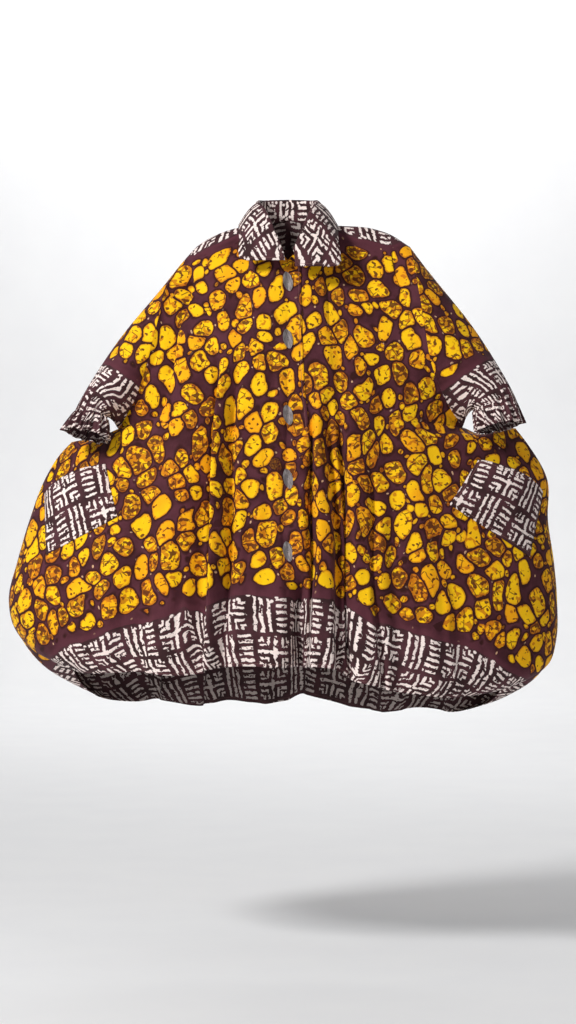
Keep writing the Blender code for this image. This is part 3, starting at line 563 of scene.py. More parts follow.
def laid_flat(grid, start_map):
    """The flat place of each point of a sheet, worked out from a rough one."""
    points = grid.reshape(-1, 3)
    corners = triangles_of(*grid.shape[:2])
    own, area = flat_triangles(points, corners)
    start = np.concatenate([corners[:, k] for k in (0, 1, 2)])
    stop = np.concatenate([corners[:, k] for k in (1, 2, 0)])
    edge = np.concatenate([own[:, m] - own[:, k] for k, m in ((0, 1), (1, 2), (2, 0))])
    owner = np.tile(np.arange(len(corners)), 3)
    weight = area[owner] / np.maximum(np.abs(edge), 1e-5) ** 2

    def gathered(values, at, size=len(points)):
        return np.bincount(at, values.real, size) + 1j * np.bincount(at, values.imag, size)

    degree = gathered(weight, start).real + gathered(weight, stop).real

    def pull(flat):
        return degree * flat - gathered(weight * flat[start], stop) - gathered(weight * flat[stop], start)

    flat = start_map.ravel()
    for _ in range(FLATTEN_ROUNDS):
        turn = gathered(np.conj(edge) * (flat[stop] - flat[start]) * weight, owner, len(corners))
        turn /= np.abs(turn)
        wish = weight * edge * turn[owner]
        left = gathered(wish, stop) - gathered(wish, start) - pull(flat)
        move = left / degree
        rest = np.vdot(left, move).real
        for _ in range(SETTLE_STEPS):
            pulled = pull(move)
            gain = rest / np.vdot(move, pulled).real
            flat = flat + gain * move
            left = left - gain * pulled
            rest, before = np.vdot(left, left / degree).real, rest
            if rest < SETTLED:
                break
            move = left / degree + rest / before * move
    return flat.reshape(grid.shape[:2])


def every(count, step):
    """Every so many of a row of numbers, and always the last."""
    return np.unique(np.append(np.arange(0, count, step), count - 1))


def flat_map(grid, start_map=None):
    """Flat places of a fine sheet, worked out on a coarser one and filled in between."""
    if start_map is None:
        start_map = grid[..., 0] + 1j * grid[..., 2]
    rows, columns = grid.shape[:2]
    some_rows, some_columns = every(rows, 4), every(columns, 3)
    some = np.ix_(some_rows, some_columns)
    coarse = laid_flat(grid[some], start_map[some])
    wide = np.array([np.interp(np.arange(columns), some_columns, row) for row in coarse])
    whole = np.array([np.interp(np.arange(rows), some_rows, column) for column in wide.T]).T
    return np.stack([whole.real, whole.imag], -1)


print("rounds of flattening:", FLATTEN_ROUNDS)

# %% [markdown]
# ## Place of the borders
# The border follows the hem, so it has a map of its own: the distance along the hem, and how far the
# point lies inside the border. A strip along the shoulder seam is printed in the same way.

# %% Place of the borders
# Depth of the hem's border. Columns: share of the way out to the side seam, depth
BORDER_DEPTH = {
    ("front", "right"): [(0.0, 0.136), (0.20, 0.138), (0.32, 0.124), (0.55, 0.098),
                         (0.80, 0.056), (1.0, 0.020)],
    ("front", "left"): [(0.0, 0.136), (0.14, 0.134), (0.24, 0.132), (0.45, 0.120),
                        (0.75, 0.066), (1.0, 0.018)],
    ("back", "right"): [(0.0, 0.150), (0.40, 0.140), (0.75, 0.090), (1.0, 0.020)],
    ("back", "left"): [(0.0, 0.150), (0.40, 0.140), (0.75, 0.090), (1.0, 0.018)],
}
# Depth of the shoulder's border, from the shoulder seam. Columns: share of the way out, depth
YOKE_DEPTH = {"front": [(0.0, -0.05), (0.30, 0.020), (0.55, 0.036), (0.78, 0.034), (1.0, -0.02)],
              "back": [(0.0, 0.060), (0.40, 0.060), (0.70, 0.050), (1.0, 0.010)]}


def lengths_along(points, axis):
    """Distances walked along the rows or the columns of a sheet."""
    steps = np.linalg.norm(np.diff(points, axis=axis), axis=-1)
    zero = np.zeros_like(np.take(steps, [0], axis=axis))
    return np.concatenate([zero, np.cumsum(steps, axis=axis)], axis=axis)


def border_map(face, side, s, points):
    """Distance along the border and depth inside it, for one half."""
    up = lengths_along(points, 0)
    inside_yoke = curve_through(YOKE_DEPTH[face])(s)[:, 0][None, :] - up
    up = up[-1:] - up
    inside_hem = curve_through(BORDER_DEPTH[(face, side)])(s)[:, 0][None, :] - up
    along, top, hem = (SIGN[side] * lengths_along(rows, 1) for rows in (points, points[:1], points[-1:]))
    yoke = inside_yoke > inside_hem
    along = np.where(yoke, top, mix(along, hem, 0.6))
    return np.stack([along, np.where(yoke, inside_yoke, inside_hem)], -1)


# Each piece is cut from its own stretch of cloth, so that the print doesn't go on over a seam
CLOTH_START = {"front_right": 0.0, "front_left": 1.3, "back": 2.9, "sleeve_right": 4.1, "sleeve_left": 5.3}


def whole_sheet(name, face, left_to, right_to):
    """A front or back from one side to the other: points, spot map, border map, places across."""
    parts = []
    for side, limit in (("right", right_to), ("left", left_to)):
        s = HALF_COLUMNS[face][HALF_COLUMNS[face] <= limit + 1e-6]
        points = sheet_points(face, side, s, SHEET_ROWS)
        border = border_map(face, side, s, points)
        if side == "right":
            points, border, s = points[:, :0:-1], border[:, :0:-1], -s[:0:-1]
        parts.append((points, border, s))
    points, border = (np.concatenate([a, b], axis=1) for a, b in zip(parts[0][:2], parts[1][:2]))
    return points, flat_map(points) + CLOTH_START[name], border, np.concatenate([parts[0][2], parts[1][2]])


print("depth of the border in the middle", BORDER_DEPTH[("front", "right")][0][1])

# %% [markdown]
# ## From points to cloth
# Every piece of cloth is a grid of points turned into a mesh, with its flat maps as UV maps. A third
# map tells how far each point is from the nearest sewn edge, for the stitches.
# A thin Solidify gives it its thickness, so that edges and the hem look like cloth from close by.

# %% From points to cloth
CLOTH_THICK = 0.0009


def edge_map(points, sewn):
    """Distance along the nearest sewn edge, and distance from it."""
    left, top = lengths_along(points, 1), lengths_along(points, 0)
    away = {"left": left, "right": left[:, -1:] - left, "top": top, "bottom": top[-1:] - top}
    choices = np.array([away[edge] for edge in sewn])
    upright = np.array([edge in ("left", "right") for edge in sewn])[choices.argmin(0)]
    return np.stack([np.where(upright, top, left), choices.min(0)], -1)


def quads_of(grid, start=0):
    """Corner numbers of the faces of a grid of points, counted on from start."""
    rows, columns = grid.shape[:2]
    corner = (np.arange(rows - 1)[:, None] * columns + np.arange(columns - 1)[None, :]).ravel() + start
    return np.stack([corner, corner + 1, corner + columns + 1, corner + columns], axis=1)


def cloth_piece(name, points, maps, finishes, replaced, inward=False, thick=CLOTH_THICK):
    """A thin piece of cloth whose outside is the grid of points; its second finish is for the reverse."""
    quads = quads_of(points)
    mesh = bpy.data.meshes.new(name)
    mesh.from_pydata(points.reshape(-1, 3).tolist(), [], quads.tolist())
    for title, flat in maps.items():
        layer = mesh.uv_layers.new(name=title)
        layer.data.foreach_set("uv", flat.reshape(-1, 2)[quads.ravel()].astype(np.float32).ravel())
    # Where the grid's own direction points inward, its faces become the reverse
    for finish in finishes[::-1] if inward else finishes:
        mesh.materials.append(finish)
    mesh.shade_smooth()
    piece = bpy.data.objects.new(name, mesh)
    bpy.context.scene.collection.objects.link(piece)
    shell = piece.modifiers.new("thickness", "SOLIDIFY")
    shell.thickness = thick
    shell.offset = 1.0 if inward else -1.0
    shell.material_offset = len(finishes) - 1
    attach(piece, "root")
    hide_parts(replaced)
    return piece


print("cloth thickness", CLOTH_THICK)

# %% [markdown]
# ## The border print
# The border follows mud-cloth, an old craft of painting light marks on dark cotton. Its repeat is
# charted: a cross with angles in its corners, three long bars, and a stack of short ones.
# Each mark is a distance that is below zero inside it, so the least of them all is the whole print.
# Folding the place with its absolute value draws four corners at once. Noise moves the edges, as a
# hand does, and breaks some bars.

# %% The border print
REPEAT_WIDE, REPEAT_HIGH, CROSS_X, DOT_EVERY = 0.146, 0.072, 0.036, 0.016
# The cross and its angles. Columns: distance from the middle lines, half width, reach
ANGLES = [(0.0, 0.0031, 0.031), (0.0128, 0.0025, 0.0295), (0.0222, 0.0022, 0.0305)]
# Long upright bars, then short level ones: how far apart, half width, middle and half size of their field
BAR_EVERY, BAR_HALF, BARS_X, BARS_WIDE, BARS_HIGH = 0.013, 0.0029, 0.056, 0.0192, 0.0325
STEP_EVERY, STEP_HALF, STACK_X, STACK_WIDE = 0.0120, 0.0028, 0.0925, 0.0118
CREAM, MUD, MUD_DARK = printed(248, 231, 224), printed(82, 46, 52), printed(54, 30, 32)


def stripes(place, start, every, half):
    """Distance to the nearest of many equal stripes."""
    return abs(((place - start) / every).fract() - 0.5) * every - half


def border_print(bench, place, u, w):
    """Colour of the mud-cloth print."""
    wander, drift = bench.wobble(place, 34.0, 3.0), bench.wobble(place, 38.0, 3.0, 7.0)
    tall = (w + wander * 0.010) / REPEAT_HIGH
    row = tall.floor()
    wide = (u + drift * 0.012) / REPEAT_WIDE + row * 0.47
    x = wide.fract() * REPEAT_WIDE - CROSS_X
    y = tall.fract() * REPEAT_HIGH - REPEAT_HIGH / 2
    across, up = abs(x), abs(y)
    near, far = across.least(up), across.most(up)
    bars = stripes(x, BARS_X - 1.5 * BAR_EVERY, BAR_EVERY, BAR_HALF)
    bars = bars.most(abs(x - BARS_X) - BARS_WIDE).most(up - BARS_HIGH)
    stack = stripes(y, -REPEAT_HIGH / 2, STEP_EVERY, STEP_HALF).most(abs(x - STACK_X) - STACK_WIDE)
    marks = bars.least(stack)
    for middle, half, reach in ANGLES:
        marks = marks.least((abs(near - middle) - half).most(far - reach))
    rough, girth = bench.wobble(place, 210.0, 3.0, 3.0), bench.wobble(place, 55.0, 1.0, 17.0)
    breaks = bench.noise(place, 120.0, 2.0, 11.0).ramp(0.57, 0.62)
    marks = marks + girth * 0.0050 + rough * 0.0044 + breaks * 0.006
    near_dot, luck, _ = bench.voronoi(place, DOT_EVERY, 0.8)
    chance, _, _ = bench.lots(luck)
    dots = (near_dot * DOT_EVERY - 0.0030).most(0.35 - chance).most(w - 0.012)
    light = marks.least(dots + rough * 0.002).ramp(0.0005, -0.0005)
    worn = 1.0 - bench.noise(place, 320.0, 2.0, 5.0).ramp(0.56, 0.72) * 0.35
    dark = bench.colour(bench.noise(place, 22.0, 4.0, 2.0).ramp(0.35, 0.65), MUD, MUD_DARK)
    return bench.colour(light * worn, dark, CREAM)


print("border repeat", REPEAT_WIDE, REPEAT_HIGH)

# %% [markdown]
# ## The spotted print
# The spots are batik: wax keeps the yellow, the dye around it is maroon, and where the wax cracks
# the dye runs in. A Voronoi pattern scatters the spots. Its N-Sphere Radius is half the distance to
# the nearest neighbour, so it tells how large a round spot may be: sizes vary by themselves, as in
# the photo. Each is stretched along its own direction and kept off its neighbours. Dots fill the
# gaps: the spots are worked out a second time at the middle of each dot, which tells its room.

# %% The spotted print
SPOT_CELL, DOT_CELL, SPECK_CELL, CRACK_CELL = 0.0395, 0.0220, 0.0300, 0.0180
SPOT_LOOSE, SPOT_TALL, SPOT_TURN = 0.50, 1.14, 0.47
SPOT_ROOM, SPOT_MOST, SPOT_GAP = 1.22, 0.475, 0.050
MAROON, MAROON_DEEP, OUTLINE = printed(88, 42, 52), printed(66, 26, 34), printed(48, 10, 6)
YELLOW, AMBER = printed(255, 200, 2), printed(250, 160, 4)
RUST, BROWN, PALE = printed(182, 92, 10), printed(86, 36, 12), printed(226, 180, 140)


def spots_at(bench, place):
    """Depth inside the nearest spot in metres, less than zero outside, and the spot's own numbers."""
    _, lot, centre = bench.voronoi(place, SPOT_CELL, SPOT_LOOSE)
    reach = bench.voronoi(place, SPOT_CELL, SPOT_LOOSE, "N_SPHERE_RADIUS", "Radius")
    edge = bench.voronoi(place, SPOT_CELL, SPOT_LOOSE, "DISTANCE_TO_EDGE", "Distance")
    size, turn, mottle = bench.lots(lot)
    x, y, _ = bench.split(place)
    middle_x, middle_y, _ = bench.split(centre)
    x, y = x - middle_x, y - middle_y
    lean = turn - 0.5 + SPOT_TURN
    cosine, sine = lean.cosine(), lean.sine()
    across, along = x * cosine - y * sine, x * sine + y * cosine
    across, along = across / 0.90, along / (size * 0.24 + 0.98)
    away = (across * across + along * along).root()
    radius = (reach * SPOT_ROOM).least(SPOT_MOST) * (1.08 - turn * turn * 0.22) * SPOT_CELL
    return (radius - away).soft_least((edge - SPOT_GAP) * SPOT_CELL, 0.0050), size, mottle


def crackle(bench, place, mottle, size):
    """Colour of the inside of the spots: yellow, with the dye that ran into the cracked wax."""
    much = mottle * 0.26 - 0.13
    warm = (bench.noise(place, 14.0, 2.0, 13.0) + (size - 0.5) * 0.35).ramp(0.42, 0.72)
    soaked = (bench.noise(place, 74.0, 1.0, 1.0) + much).ramp(0.52, 0.60)
    deep = (bench.noise(place, 105.0, 0.8, 6.0) + much * 0.7).ramp(0.565, 0.605)
    lines = bench.voronoi(place, CRACK_CELL, 1.0, "DISTANCE_TO_EDGE", "Distance") * CRACK_CELL
    cracks = lines.ramp(0.0015, 0.0005) * (bench.noise(place, 48.0, 1.0, 4.0) + much).ramp(0.47, 0.53)
    fill = bench.colour(warm * 0.75, YELLOW, AMBER)
    fill = bench.colour(soaked * 0.72, fill, RUST)
    return bench.colour((cracks * 0.85).most(deep * 0.92), fill, BROWN)


def spotted_print(bench, flat, clear):
    """Colour of the spotted print; clear is how far the point is from the border, in metres."""
    u, w, _ = bench.split(flat)
    ragged = bench.wobble(flat, 240.0, 2.0, 19.0)
    broad, broader = bench.wobble(flat, 11.0, 1.0, 31.0), bench.wobble(flat, 11.0, 1.0, 37.0)
    wander, drift = bench.wobble(flat, 50.0, 2.0), bench.wobble(flat, 50.0, 2.0, 9.0)
    x, y = u + broad * 0.055 + wander * 0.006, w / SPOT_TALL + broader * 0.055 + drift * 0.006
    # All the spots lean the same way on average, so the place is turned before they are scattered
    cosine, sine = math.cos(SPOT_TURN), math.sin(SPOT_TURN)
    place = bench.place(x * cosine + y * sine, y * cosine - x * sine)
    spot, size, mottle = spots_at(bench, place)
    spot = spot - clear.ramp(0.006, 0.030, 0.022, 0.0) + ragged * 0.0016
    away, luck, middle = bench.voronoi(place, DOT_CELL, 0.9)
    room, _, _ = spots_at(bench, middle)
    chance, girth, _ = bench.lots(luck)
    radius = (-room - 0.0012).least(girth * 0.0070 + 0.0036)
    dot = (radius - away * DOT_CELL).least(radius - 0.0026).least((chance - 0.22) * 0.1)
    dot = dot - clear.ramp(0.006, 0.020, 0.010, 0.0) + ragged * 0.0009
    tiny, sparse, _ = bench.voronoi(place, SPECK_CELL, 1.0)
    rare, _, _ = bench.lots(sparse)
    speck = (0.0020 - tiny * SPECK_CELL).least((rare - 0.50) * 0.1)
    blob = spot.most(dot)
    fill = crackle(bench, flat, mottle, size)
    fill = bench.colour(blob.ramp(0.0032, 0.0006) * 0.60, fill, RUST)
    soft = bench.noise(flat, 16.0, 3.0, 3.0).ramp(0.35, 0.65)
    ground = bench.colour(soft, MAROON, MAROON_DEEP)
    ground = bench.colour(speck.ramp(-0.0003, 0.0003) * 0.8, ground, PALE)
    ground = bench.colour(blob.ramp(-0.0058, -0.0010) * 0.92, ground, OUTLINE)
    return bench.colour(blob.ramp(-0.0004, 0.0005), ground, fill)


print("spot spacing", SPOT_CELL)

# %% [markdown]
# ## The cloth itself
# Plain-woven cotton is matt with a faint sheen. Its threads are finer than a pixel, so the weave is
# only bump, with slower crumples under it. The stitches run along the sewn edges: each is a short
# thread that sinks in a little and pulls the cloth around it. The reverse gets painted shade: its
# colour is mixed halfway to a dark brown, so the inside of the dress looks shaded.

# %% The cloth itself
STITCH_IN, STITCH_EVERY, THREADS = 0.0060, 0.0032, 5200.0
# The second colour is a dark brown, the painted shade of the reverse side
THREAD, REVERSE_SHADE = printed(128, 88, 84), printed(40, 24, 26)


def stitches(bench):
    """How much of each place is thread, and its height over the cloth."""
    edges = bench.uv("edges")
    along, away, _ = bench.split(edges)
    row = abs(away - STITCH_IN)
    thread = row.ramp(0.0006, 0.0003) * abs((along / STITCH_EVERY).fract() - 0.5).ramp(0.40, 0.34)
    pucker = bench.noise(edges, 180.0, 2.0, 23.0) * 0.0008
    return thread, thread * 0.0004 - row.ramp(0.0034, 0.0) * (pucker + 0.0003)


def weave(bench, place, sewn_height):
    """Threads and small crumples as a bump."""
    u, w, _ = bench.split(place)
    threads = (u * THREADS).sine() + (w * THREADS).sine()
    crumple = bench.noise(place, 26.0, 4.0, 12.0) * 0.0040 + bench.noise(place, 70.0, 3.0, 14.0) * 0.0014
    return bench.bump(0.45, crumple + threads * 0.00003 + sewn_height)


def finish_cloth(bench, colour, place, painted_shade):
    """Settings that all the printed cotton shares."""
    thread, height = stitches(bench)
    colour = bench.colour(thread * 0.9, colour, THREAD)
    # On the reverse finish the colour is mixed towards that dark brown: painted shade for the inside of the
    # dress
    if painted_shade:
        colour = bench.colour(painted_shade, colour, REVERSE_SHADE)
    rough = bench.noise(place, 140.0, 2.0, 15.0) * 0.12 + 0.76
    bench.set(Base_Color=colour, Roughness=rough, Normal=weave(bench, place, height),
              Specular_IOR_Level=0.22, Sheen_Weight=0.04)
    return bench.material


def spotted_cotton(name, painted_shade=0.0):
    """Spots above, border marks inside the border."""
    bench = Bench(name)
    place = bench.uv("spots")
    border = bench.uv("border")
    u, w, _ = bench.split(border)
    inside = w + bench.wobble(place, 50.0, 2.0, 20.0) * 0.006
    above = bench.colour(inside.ramp(-0.016, -0.004), spotted_print(bench, place, -w), MAROON)
    colour = bench.colour(inside.ramp(-0.0005, 0.0010), above, border_print(bench, border, u, w))
    return finish_cloth(bench, colour, place, painted_shade)


def marked_cotton(name, painted_shade=0.0):
    """Border marks all over, for the collar and the pockets."""
    bench = Bench(name)
    border = bench.uv("border")
    u, w, _ = bench.split(border)
    return finish_cloth(bench, border_print(bench, border, u, w), border, painted_shade)


# The second finish of each pair is the reverse, darkened with painted shade
SPOTTED = [spotted_cotton("spotted_cotton"), spotted_cotton("spotted_reverse_shaded", 0.50)]
MARKED = [marked_cotton("marked_cotton"), marked_cotton("marked_reverse_shaded", 0.50)]
print("finishes:", [finish.name for finish in SPOTTED + MARKED])

# %% [markdown]
# ## Fronts and back
# The wearer's right front laps over the left one, so near the middle it is lifted by one thickness.

# %% Fronts and back
def normals_on(points, flip):
    """The outward direction at each point of a sheet."""
    normal = np.cross(np.gradient(points, axis=0), np.gradient(points, axis=1)) * flip
    return normal / np.linalg.norm(normal, axis=-1, keepdims=True)


SEWN_EDGES = {"front_right": ("right", "bottom"), "front_left": ("left", "bottom"), "back": ("bottom",)}
CLOTHS = {}
# Each piece: its name, its face, and how far it reaches to the left and to the right
for name, face, left_to, right_to in (("front_right", "front", FRONT_OVERLAP, 1.0),
                                      ("front_left", "front", 1.0, FRONT_OVERLAP),
                                      ("back", "back", 1.0, 1.0)):
    points, spots, border, s = whole_sheet(name, face, left_to, right_to)
    outward = normals_on(points, 1.0 if face == "front" else -1.0)
    if name == "front_right":
        near = np.clip(1.0 - (np.abs(s) - FRONT_OVERLAP) / (OVERLAP_FADE - FRONT_OVERLAP), 0.0, 1.0)
        points = points + outward * ((WALL + LAYER_GAP) * near)[None, :, None]
    maps = {"spots": spots, "border": border, "edges": edge_map(points, SEWN_EDGES[name])}
    piece = cloth_piece(name + "_cloth", points, maps, SPOTTED, name,
                        inward=face == "front")
    CLOTHS[name] = points

# %% [markdown]
# ## Sleeves
# A short tube from the armhole to a band of elastic, then a frill. The elastic gathers the cloth:
# the print keeps its flat width all round, so it crowds together there as it does when sewn.

# %% Sleeves
# The ring of elastic: its middle, the way down the arm, and its half size across and in depth
ELASTIC = {
    "right": dict(centre=(-0.386, -0.084, -0.388), axis=(-0.24, -0.24, -0.94), across=0.030, deep=0.028),
    "left": dict(centre=(0.406, -0.084, -0.372), axis=(0.20, -0.24, -0.95), across=0.042, deep=0.030),
}
FRILL_LENGTH, FRILL_WAVES, FRILL_WAVE_DEPTH, GATHER_DEPTH = 0.044, 12, 0.0055, 0.0022
FRILL_FLARE = {"right": 0.014, "left": 0.003}
SLEEVE_FULLNESS, SLEEVE_SLACK, ELASTIC_PULL = 0.004, 0.0035, 0.5
SLEEVE_CUFF_FLAT = 0.38
SLEEVE_BORDER = {"right": 0.158, "left": 0.140}


def unit(way):
    """The same direction, one metre long."""
    return np.array(way) / np.linalg.norm(way)


def sleeve_points(side, around=240, sleeve_rings=44, frill_rings=16):
    """Rings of a sleeve, from the underarm round and back to it."""
    end = ELASTIC[side]
    centre, axis = np.array(end["centre"]), unit(end["axis"])
    forwards = np.array([0.0, -1.0, 0.0])
    forwards = unit(forwards - axis * forwards.dot(axis))
    outwards = np.cross(axis, forwards) * SIGN[side]
    outwards = outwards * np.sign(outwards[0] * SIGN[side])
    angle = np.linspace(np.pi, 3 * np.pi, around + 1)
    folded = np.mod(angle, 2 * np.pi) / np.pi
    front = folded <= 1.0
    share = np.where(front, folded, 2.0 - folded)
    spaced = mix(share, (1.0 - np.cos(np.pi * share)) / 2, 0.6)
    first = np.where(front[:, None], armhole("front", side, spaced), armhole("back", side, spaced))

    def oval(across, deep):
        return (across * np.cos(angle))[:, None] * outwards + (deep * np.sin(angle))[:, None] * forwards

    radial = oval(1.0, 1.0)
    last = centre + oval(end["across"], end["deep"])
    reach = np.linalg.norm(last - first, axis=1)[:, None]
    # Under the arm the sleeve is short, so it has less fullness there
    loose = np.minimum(1.0, reach / 0.12)
    rings = []
    uneven = np.sin(angle * 5 + 1.0) * 0.5 + np.sin(angle * 9 + 2.0) * 0.5
    fine = np.cos(FRILL_WAVES * angle) + 0.45 * np.cos(29 * angle + 1.3) + 0.3 * np.cos(41 * angle)
    for u in np.linspace(0.0, 1.0, sleeve_rings):
        ring = bend(u, first, last - first, last, axis * reach * ELASTIC_PULL)
        full = SLEEVE_FULLNESS * math.sin(math.pi * u) * loose
        gather = GATHER_DEPTH * fine * u ** (5 + 2 * uneven)
        slack = SLEEVE_SLACK * math.sin(math.pi * u) * np.sin(4 * angle + 5 * u) * smooth_step(u, 0.1, 0.5)
        rings.append(ring + radial * (full + (gather + slack)[:, None] * loose))
    for v in np.linspace(0.0, 1.0, frill_rings)[1:]:
        grow = FRILL_FLARE[side] * v ** 0.7
        wave = mix(GATHER_DEPTH, FRILL_WAVE_DEPTH * 0.9, v) * fine * (1 + 0.25 * uneven * v)
        drop = FRILL_LENGTH * v * (1 + 0.06 * uneven)
        wide_ring = oval(end["across"] + grow + wave, end["deep"] + grow + wave)
        rings.append(centre + axis * drop[:, None] + wide_ring)
    return np.array(rings), angle


for side in SIGN:
    points, angle = sleeve_points(side)
    round_it = lengths_along(points, 1)
    true_round = round_it[:, -1:]
    flat_round = (true_round ** 4 + SLEEVE_CUFF_FLAT ** 4) ** 0.25
    u = (round_it / true_round - 0.5) * flat_round
    down = lengths_along(points, 0)
    down = mix(down.mean(axis=1, keepdims=True), down, 0.4)
    up = down[-1:] - down
    # Two rows of stitches, at the frill's edge and along the elastic
    away = np.minimum(up, np.abs(up - FRILL_LENGTH))
    flat = flat_map(points, u + 1j * up)
    flat = flat - flat[-1, len(angle) // 2]
    gathered = smooth_step(up, 0.14, 0.06)
    along, high = mix(flat[..., 0], u, gathered), mix(flat[..., 1], up, gathered)
    border = np.stack([along, SLEEVE_BORDER[side] - high], -1)
    spots, edges = flat + CLOTH_START["sleeve_" + side], np.stack([u, away], -1)
    maps = {"spots": spots, "border": border, "edges": edges}
    piece = cloth_piece("sleeve_%s_cloth" % side, points, maps, SPOTTED, "sleeve_" + side,
                        inward=side == "right")

# %% [markdown]
# ## Collar
# The collar is one strip: it stands up from the neckline, rolls over and falls on the shoulders. Its
# line is drawn through a few stations from the front to the middle of the back, then each station
# gets a smooth curve across, and the falling part is kept just clear of the cloth under it.

# %% Collar
# Columns: share of the way round from the front, x, y, z
COLLAR_ROLL = [
    (0.00, 0.010, -0.102, -0.068), (0.18, 0.025, -0.090, -0.030), (0.34, 0.043, -0.062, 0.014),
    (0.50, 0.056, -0.012, 0.036), (0.75, 0.044, 0.048, 0.046), (1.00, 0.000, 0.068, 0.050),
]
COLLAR_EDGE = [
    (0.00, 0.006, -0.115, -0.088), (0.10, 0.045, -0.116, -0.088), (0.22, 0.093, -0.110, -0.084),
    (0.34, 0.095, -0.090, -0.046), (0.50, 0.098, 0.000, -0.006), (0.62, 0.094, 0.070, -0.022),
    (0.80, 0.060, 0.112, -0.030), (1.00, 0.000, 0.118, -0.032),
]
# The wearer's left wing lies a little lower and further out than the right one
COLLAR_LEFT_FALL = (0.008, 0.0, -0.012)
COLLAR_ROLL_WIDTH, COLLAR_ROLL_HIGH, COLLAR_ARCH, COLLAR_RIPPLE = 0.006, 0.0022, 0.006, 0.0012
COLLAR_CLEAR, COLLAR_EDGE_CLEAR, COLLAR_SEAT = 0.0050, 0.0022, 0.0014
COLLAR_THICK = 0.0011
# Where the print starts: along the collar from its middle, and across it from the roll
COLLAR_PRINT = (CROSS_X - 0.018, 0.003)
# The shares of the way up at which a row has points, below and above its middle
LOW_STAND, HIGH_STAND = (0.0, 0.5), (0.0, 0.4, 0.75, 1.0)
FALL_START = len(LOW_STAND + HIGH_STAND) + 1


def surface_of(names):
    """The outside of some cloths, to lay other pieces on."""
    points, faces = [], []
    for name in names:
        faces += quads_of(CLOTHS[name], len(points)).tolist()
        points += CLOTHS[name].reshape(-1, 3).tolist()
    return BVHTree.FromPolygons([Vector(p) for p in points], faces)


CLOTH_SURFACE = surface_of(("front_right", "front_left", "back"))


def lifted(point, clearance):
    """The point itself, or the nearest place that stands clear of the cloth."""
    place, normal, _, _ = CLOTH_SURFACE.find_nearest(Vector(point))
    outside = np.array(normal)
    if outside.dot(np.array([place.x, place.y, 0.02])) < 0:
        outside = -outside
    height = (np.array(point) - np.array(place)).dot(outside)
    if height >= clearance:
        return np.array(point)
    return np.array(place) + outside * clearance


def collar_points(stations=70, fall_points=26):
    """Rows of the collar, from one front end round the back to the other."""
    roll, edge = curve_through(COLLAR_ROLL), curve_through(COLLAR_EDGE)
    first = FRONT_OVERLAP / S_NECK
    rows = []
    for place in np.linspace(-1.0, 1.0, 2 * stations + 1):
        side = "right" if place < 0 else "left"
        share = 1.0 - abs(place)
        if share <= 0.5:
            s, face = mix(first, 1.0, share * 2) * S_NECK, "front"
        else:
            s, face = (1.0 - share) * 2 * S_NECK, "back"
        seat = top_edge(face, side, np.array([s]))[0]
        seat = seat - unit((seat[0], seat[1], 0.0)) * COLLAR_SEAT
        flip = np.array([SIGN[side], 1.0, 1.0])
        roll_point, edge_point = roll(share)[0] * flip, edge(share)[0] * flip
        if side == "left":
            edge_point = edge_point + np.array(COLLAR_LEFT_FALL) * smooth_step(share, 0.5, 0.2)
        rolled = roll_point + unit((roll_point[0], roll_point[1], 0.0)) * COLLAR_ROLL_WIDTH
        middle = mix(seat, roll_point, 0.55)
        stand = [mix(seat, middle, v) for v in LOW_STAND] + [mix(middle, roll_point, v) for v in HIGH_STAND]
        top = (roll_point + rolled) / 2 + np.array([0.0, 0.0, COLLAR_ROLL_HIGH])
        fall = []
        for v in np.linspace(0.0, 1.0, fall_points):
            point = mix(rolled, edge_point, v)
            point[2] += COLLAR_ARCH * math.sin(math.pi * v)
            point[2] += COLLAR_RIPPLE * math.sin(math.pi * v) * math.sin(23 * share + 2.0 * SIGN[side])
            fall.append(lifted(point, mix(COLLAR_CLEAR, COLLAR_EDGE_CLEAR, v)))
        rows.append(stand + [top] + fall)
    return np.array(rows)


points = collar_points()
across = lengths_along(points, 1)
along = lengths_along(points[:, [FALL_START + 1]], 0)
along = np.broadcast_to(along - along[len(along) // 2], across.shape)
border = np.stack([along, across - across[:, [FALL_START]]], -1) + COLLAR_PRINT
maps = {"border": border, "edges": edge_map(points, ("top", "bottom", "right"))}
piece = cloth_piece("collar_cloth", points, maps, MARKED[:1], "collar",
                    thick=COLLAR_THICK)

# %% [markdown]
# ## Pockets
# A patch pocket is a square of cloth on the front, sewn on three sides. Its mouth gapes, because it
# is used. Each point is dropped on the front from the camera's side, then pushed out.

# %% Pockets
# Corners seen from the front: inner top, outer top, outer bottom, inner bottom. Columns: x, z in mm
POCKET = {
    "right": metres([(-358, -486), (-484, -548), (-474, -664), (-332, -590)]),
    "left": metres([(374, -478), (506, -542), (474, -668), (314, -566)]),
}
POCKET_BULGE, POCKET_SEAT, POCKET_CREASE = 0.026, 0.0012, 0.0016


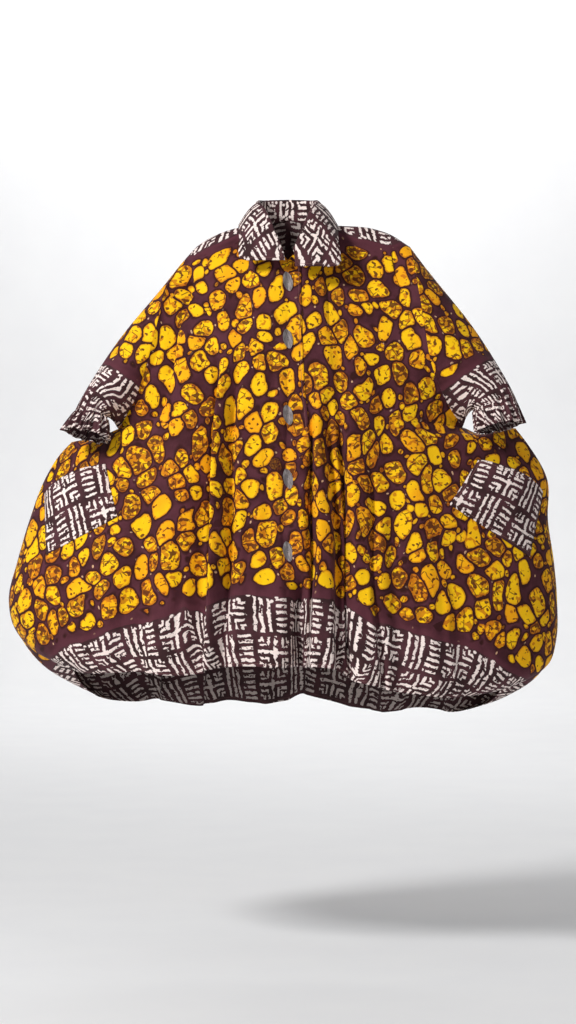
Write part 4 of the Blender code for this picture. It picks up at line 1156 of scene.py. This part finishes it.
def pocket_points(side, steps=44):
    """Rows of a pocket from its mouth down."""
    inner_top, outer_top, outer_low, inner_low = [np.array(corner) for corner in POCKET[side]]
    points = []
    for down in np.linspace(0.0, 1.0, steps + 1):
        row = []
        for across in np.linspace(0.0, 1.0, steps + 1):
            x, z = mix(mix(inner_top, outer_top, across), mix(inner_low, outer_low, across), down)
            place, normal, _, _ = CLOTH_SURFACE.ray_cast((x, -1.0, z), (0.0, 1.0, 0.0))
            outside = np.array(normal) * (-1.0 if normal.y > 0 else 1.0)
            arch = math.sin(math.pi * across)
            opened = arch ** 0.8 * math.cos(down * math.pi / 2) ** 1.2
            crease = POCKET_CREASE * arch * math.sin(9 * across + 4 * down + 2 * SIGN[side])
            out = POCKET_SEAT + POCKET_BULGE * opened + crease * (1 - down)
            row.append(np.array(place) + outside * out)
        points.append(row)
    return np.array(points)


for side in SIGN:
    points = pocket_points(side)
    across = lengths_along(points, 1)
    down = lengths_along(points, 0)
    across = across - across[:, [across.shape[1] // 2]]
    border = np.stack([across, down], -1) + (CROSS_X + 0.012 * SIGN[side], 0.004)
    maps = {"border": border, "edges": edge_map(points, ("top", "bottom", "left", "right"))}
    piece = cloth_piece("pocket_%s_cloth" % side, points, maps, MARKED[:1],
                        "pocket_" + side)

# %% [markdown]
# ## Buttons
# The buttons are the solids themselves: their facets are right, so they only get a finish. Grey horn
# has fine lines along it and a gloss, and one side carries painted shade. Two thread holes lie in the
# middle, painted dark as shade.

# %% Buttons
HOLE_APART, HOLE_ROUND = 0.055, 0.022


def grey_horn():
    """Polished horn; a Generated place runs from 0 to 1 over each button, so one finish does all."""
    bench = Bench("grey_horn")
    x, _, z = bench.split(bench.add("ShaderNodeTexCoord", gives="Object"))
    lines = bench.noise(bench.place((x * 0.98 + z * 0.21) * 9.0, z * 0.8), 90.0, 4.0)
    across, _, up = bench.split(bench.add("ShaderNodeTexCoord", gives="Generated"))
    shade = bench.colour(lines.ramp(0.30, 0.70), printed(96, 88, 88), printed(176, 166, 164))
    # Painted shade: the left side of each button is darkened, as if turned away from the light
    shade = bench.colour(across.ramp(0.60, 0.38) * 0.75, shade, printed(62, 54, 54))
    x, z = (across - 0.5) * 0.55, abs(up - 0.5) - HOLE_APART
    hole = (x * x + z * z).root()
    # The thread holes are painted near black: painted shade of the hollows
    shade = bench.colour(hole.ramp(HOLE_ROUND * 1.2, HOLE_ROUND * 0.8) * 0.9, shade, printed(20, 14, 14))
    height = lines * 0.0006 + hole.ramp(HOLE_ROUND * 0.6, HOLE_ROUND * 1.3) * 0.0012
    bench.set(Base_Color=shade, Roughness=lines * 0.2 + 0.20, Normal=bench.bump(0.4, height),
              Coat_Weight=0.3)
    return bench.material


HORN = grey_horn()
for number in range(1, 6):
    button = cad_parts["button_%d" % number]
    button.data.materials.clear()
    button.data.materials.append(HORN)
print("horn on 5 buttons")
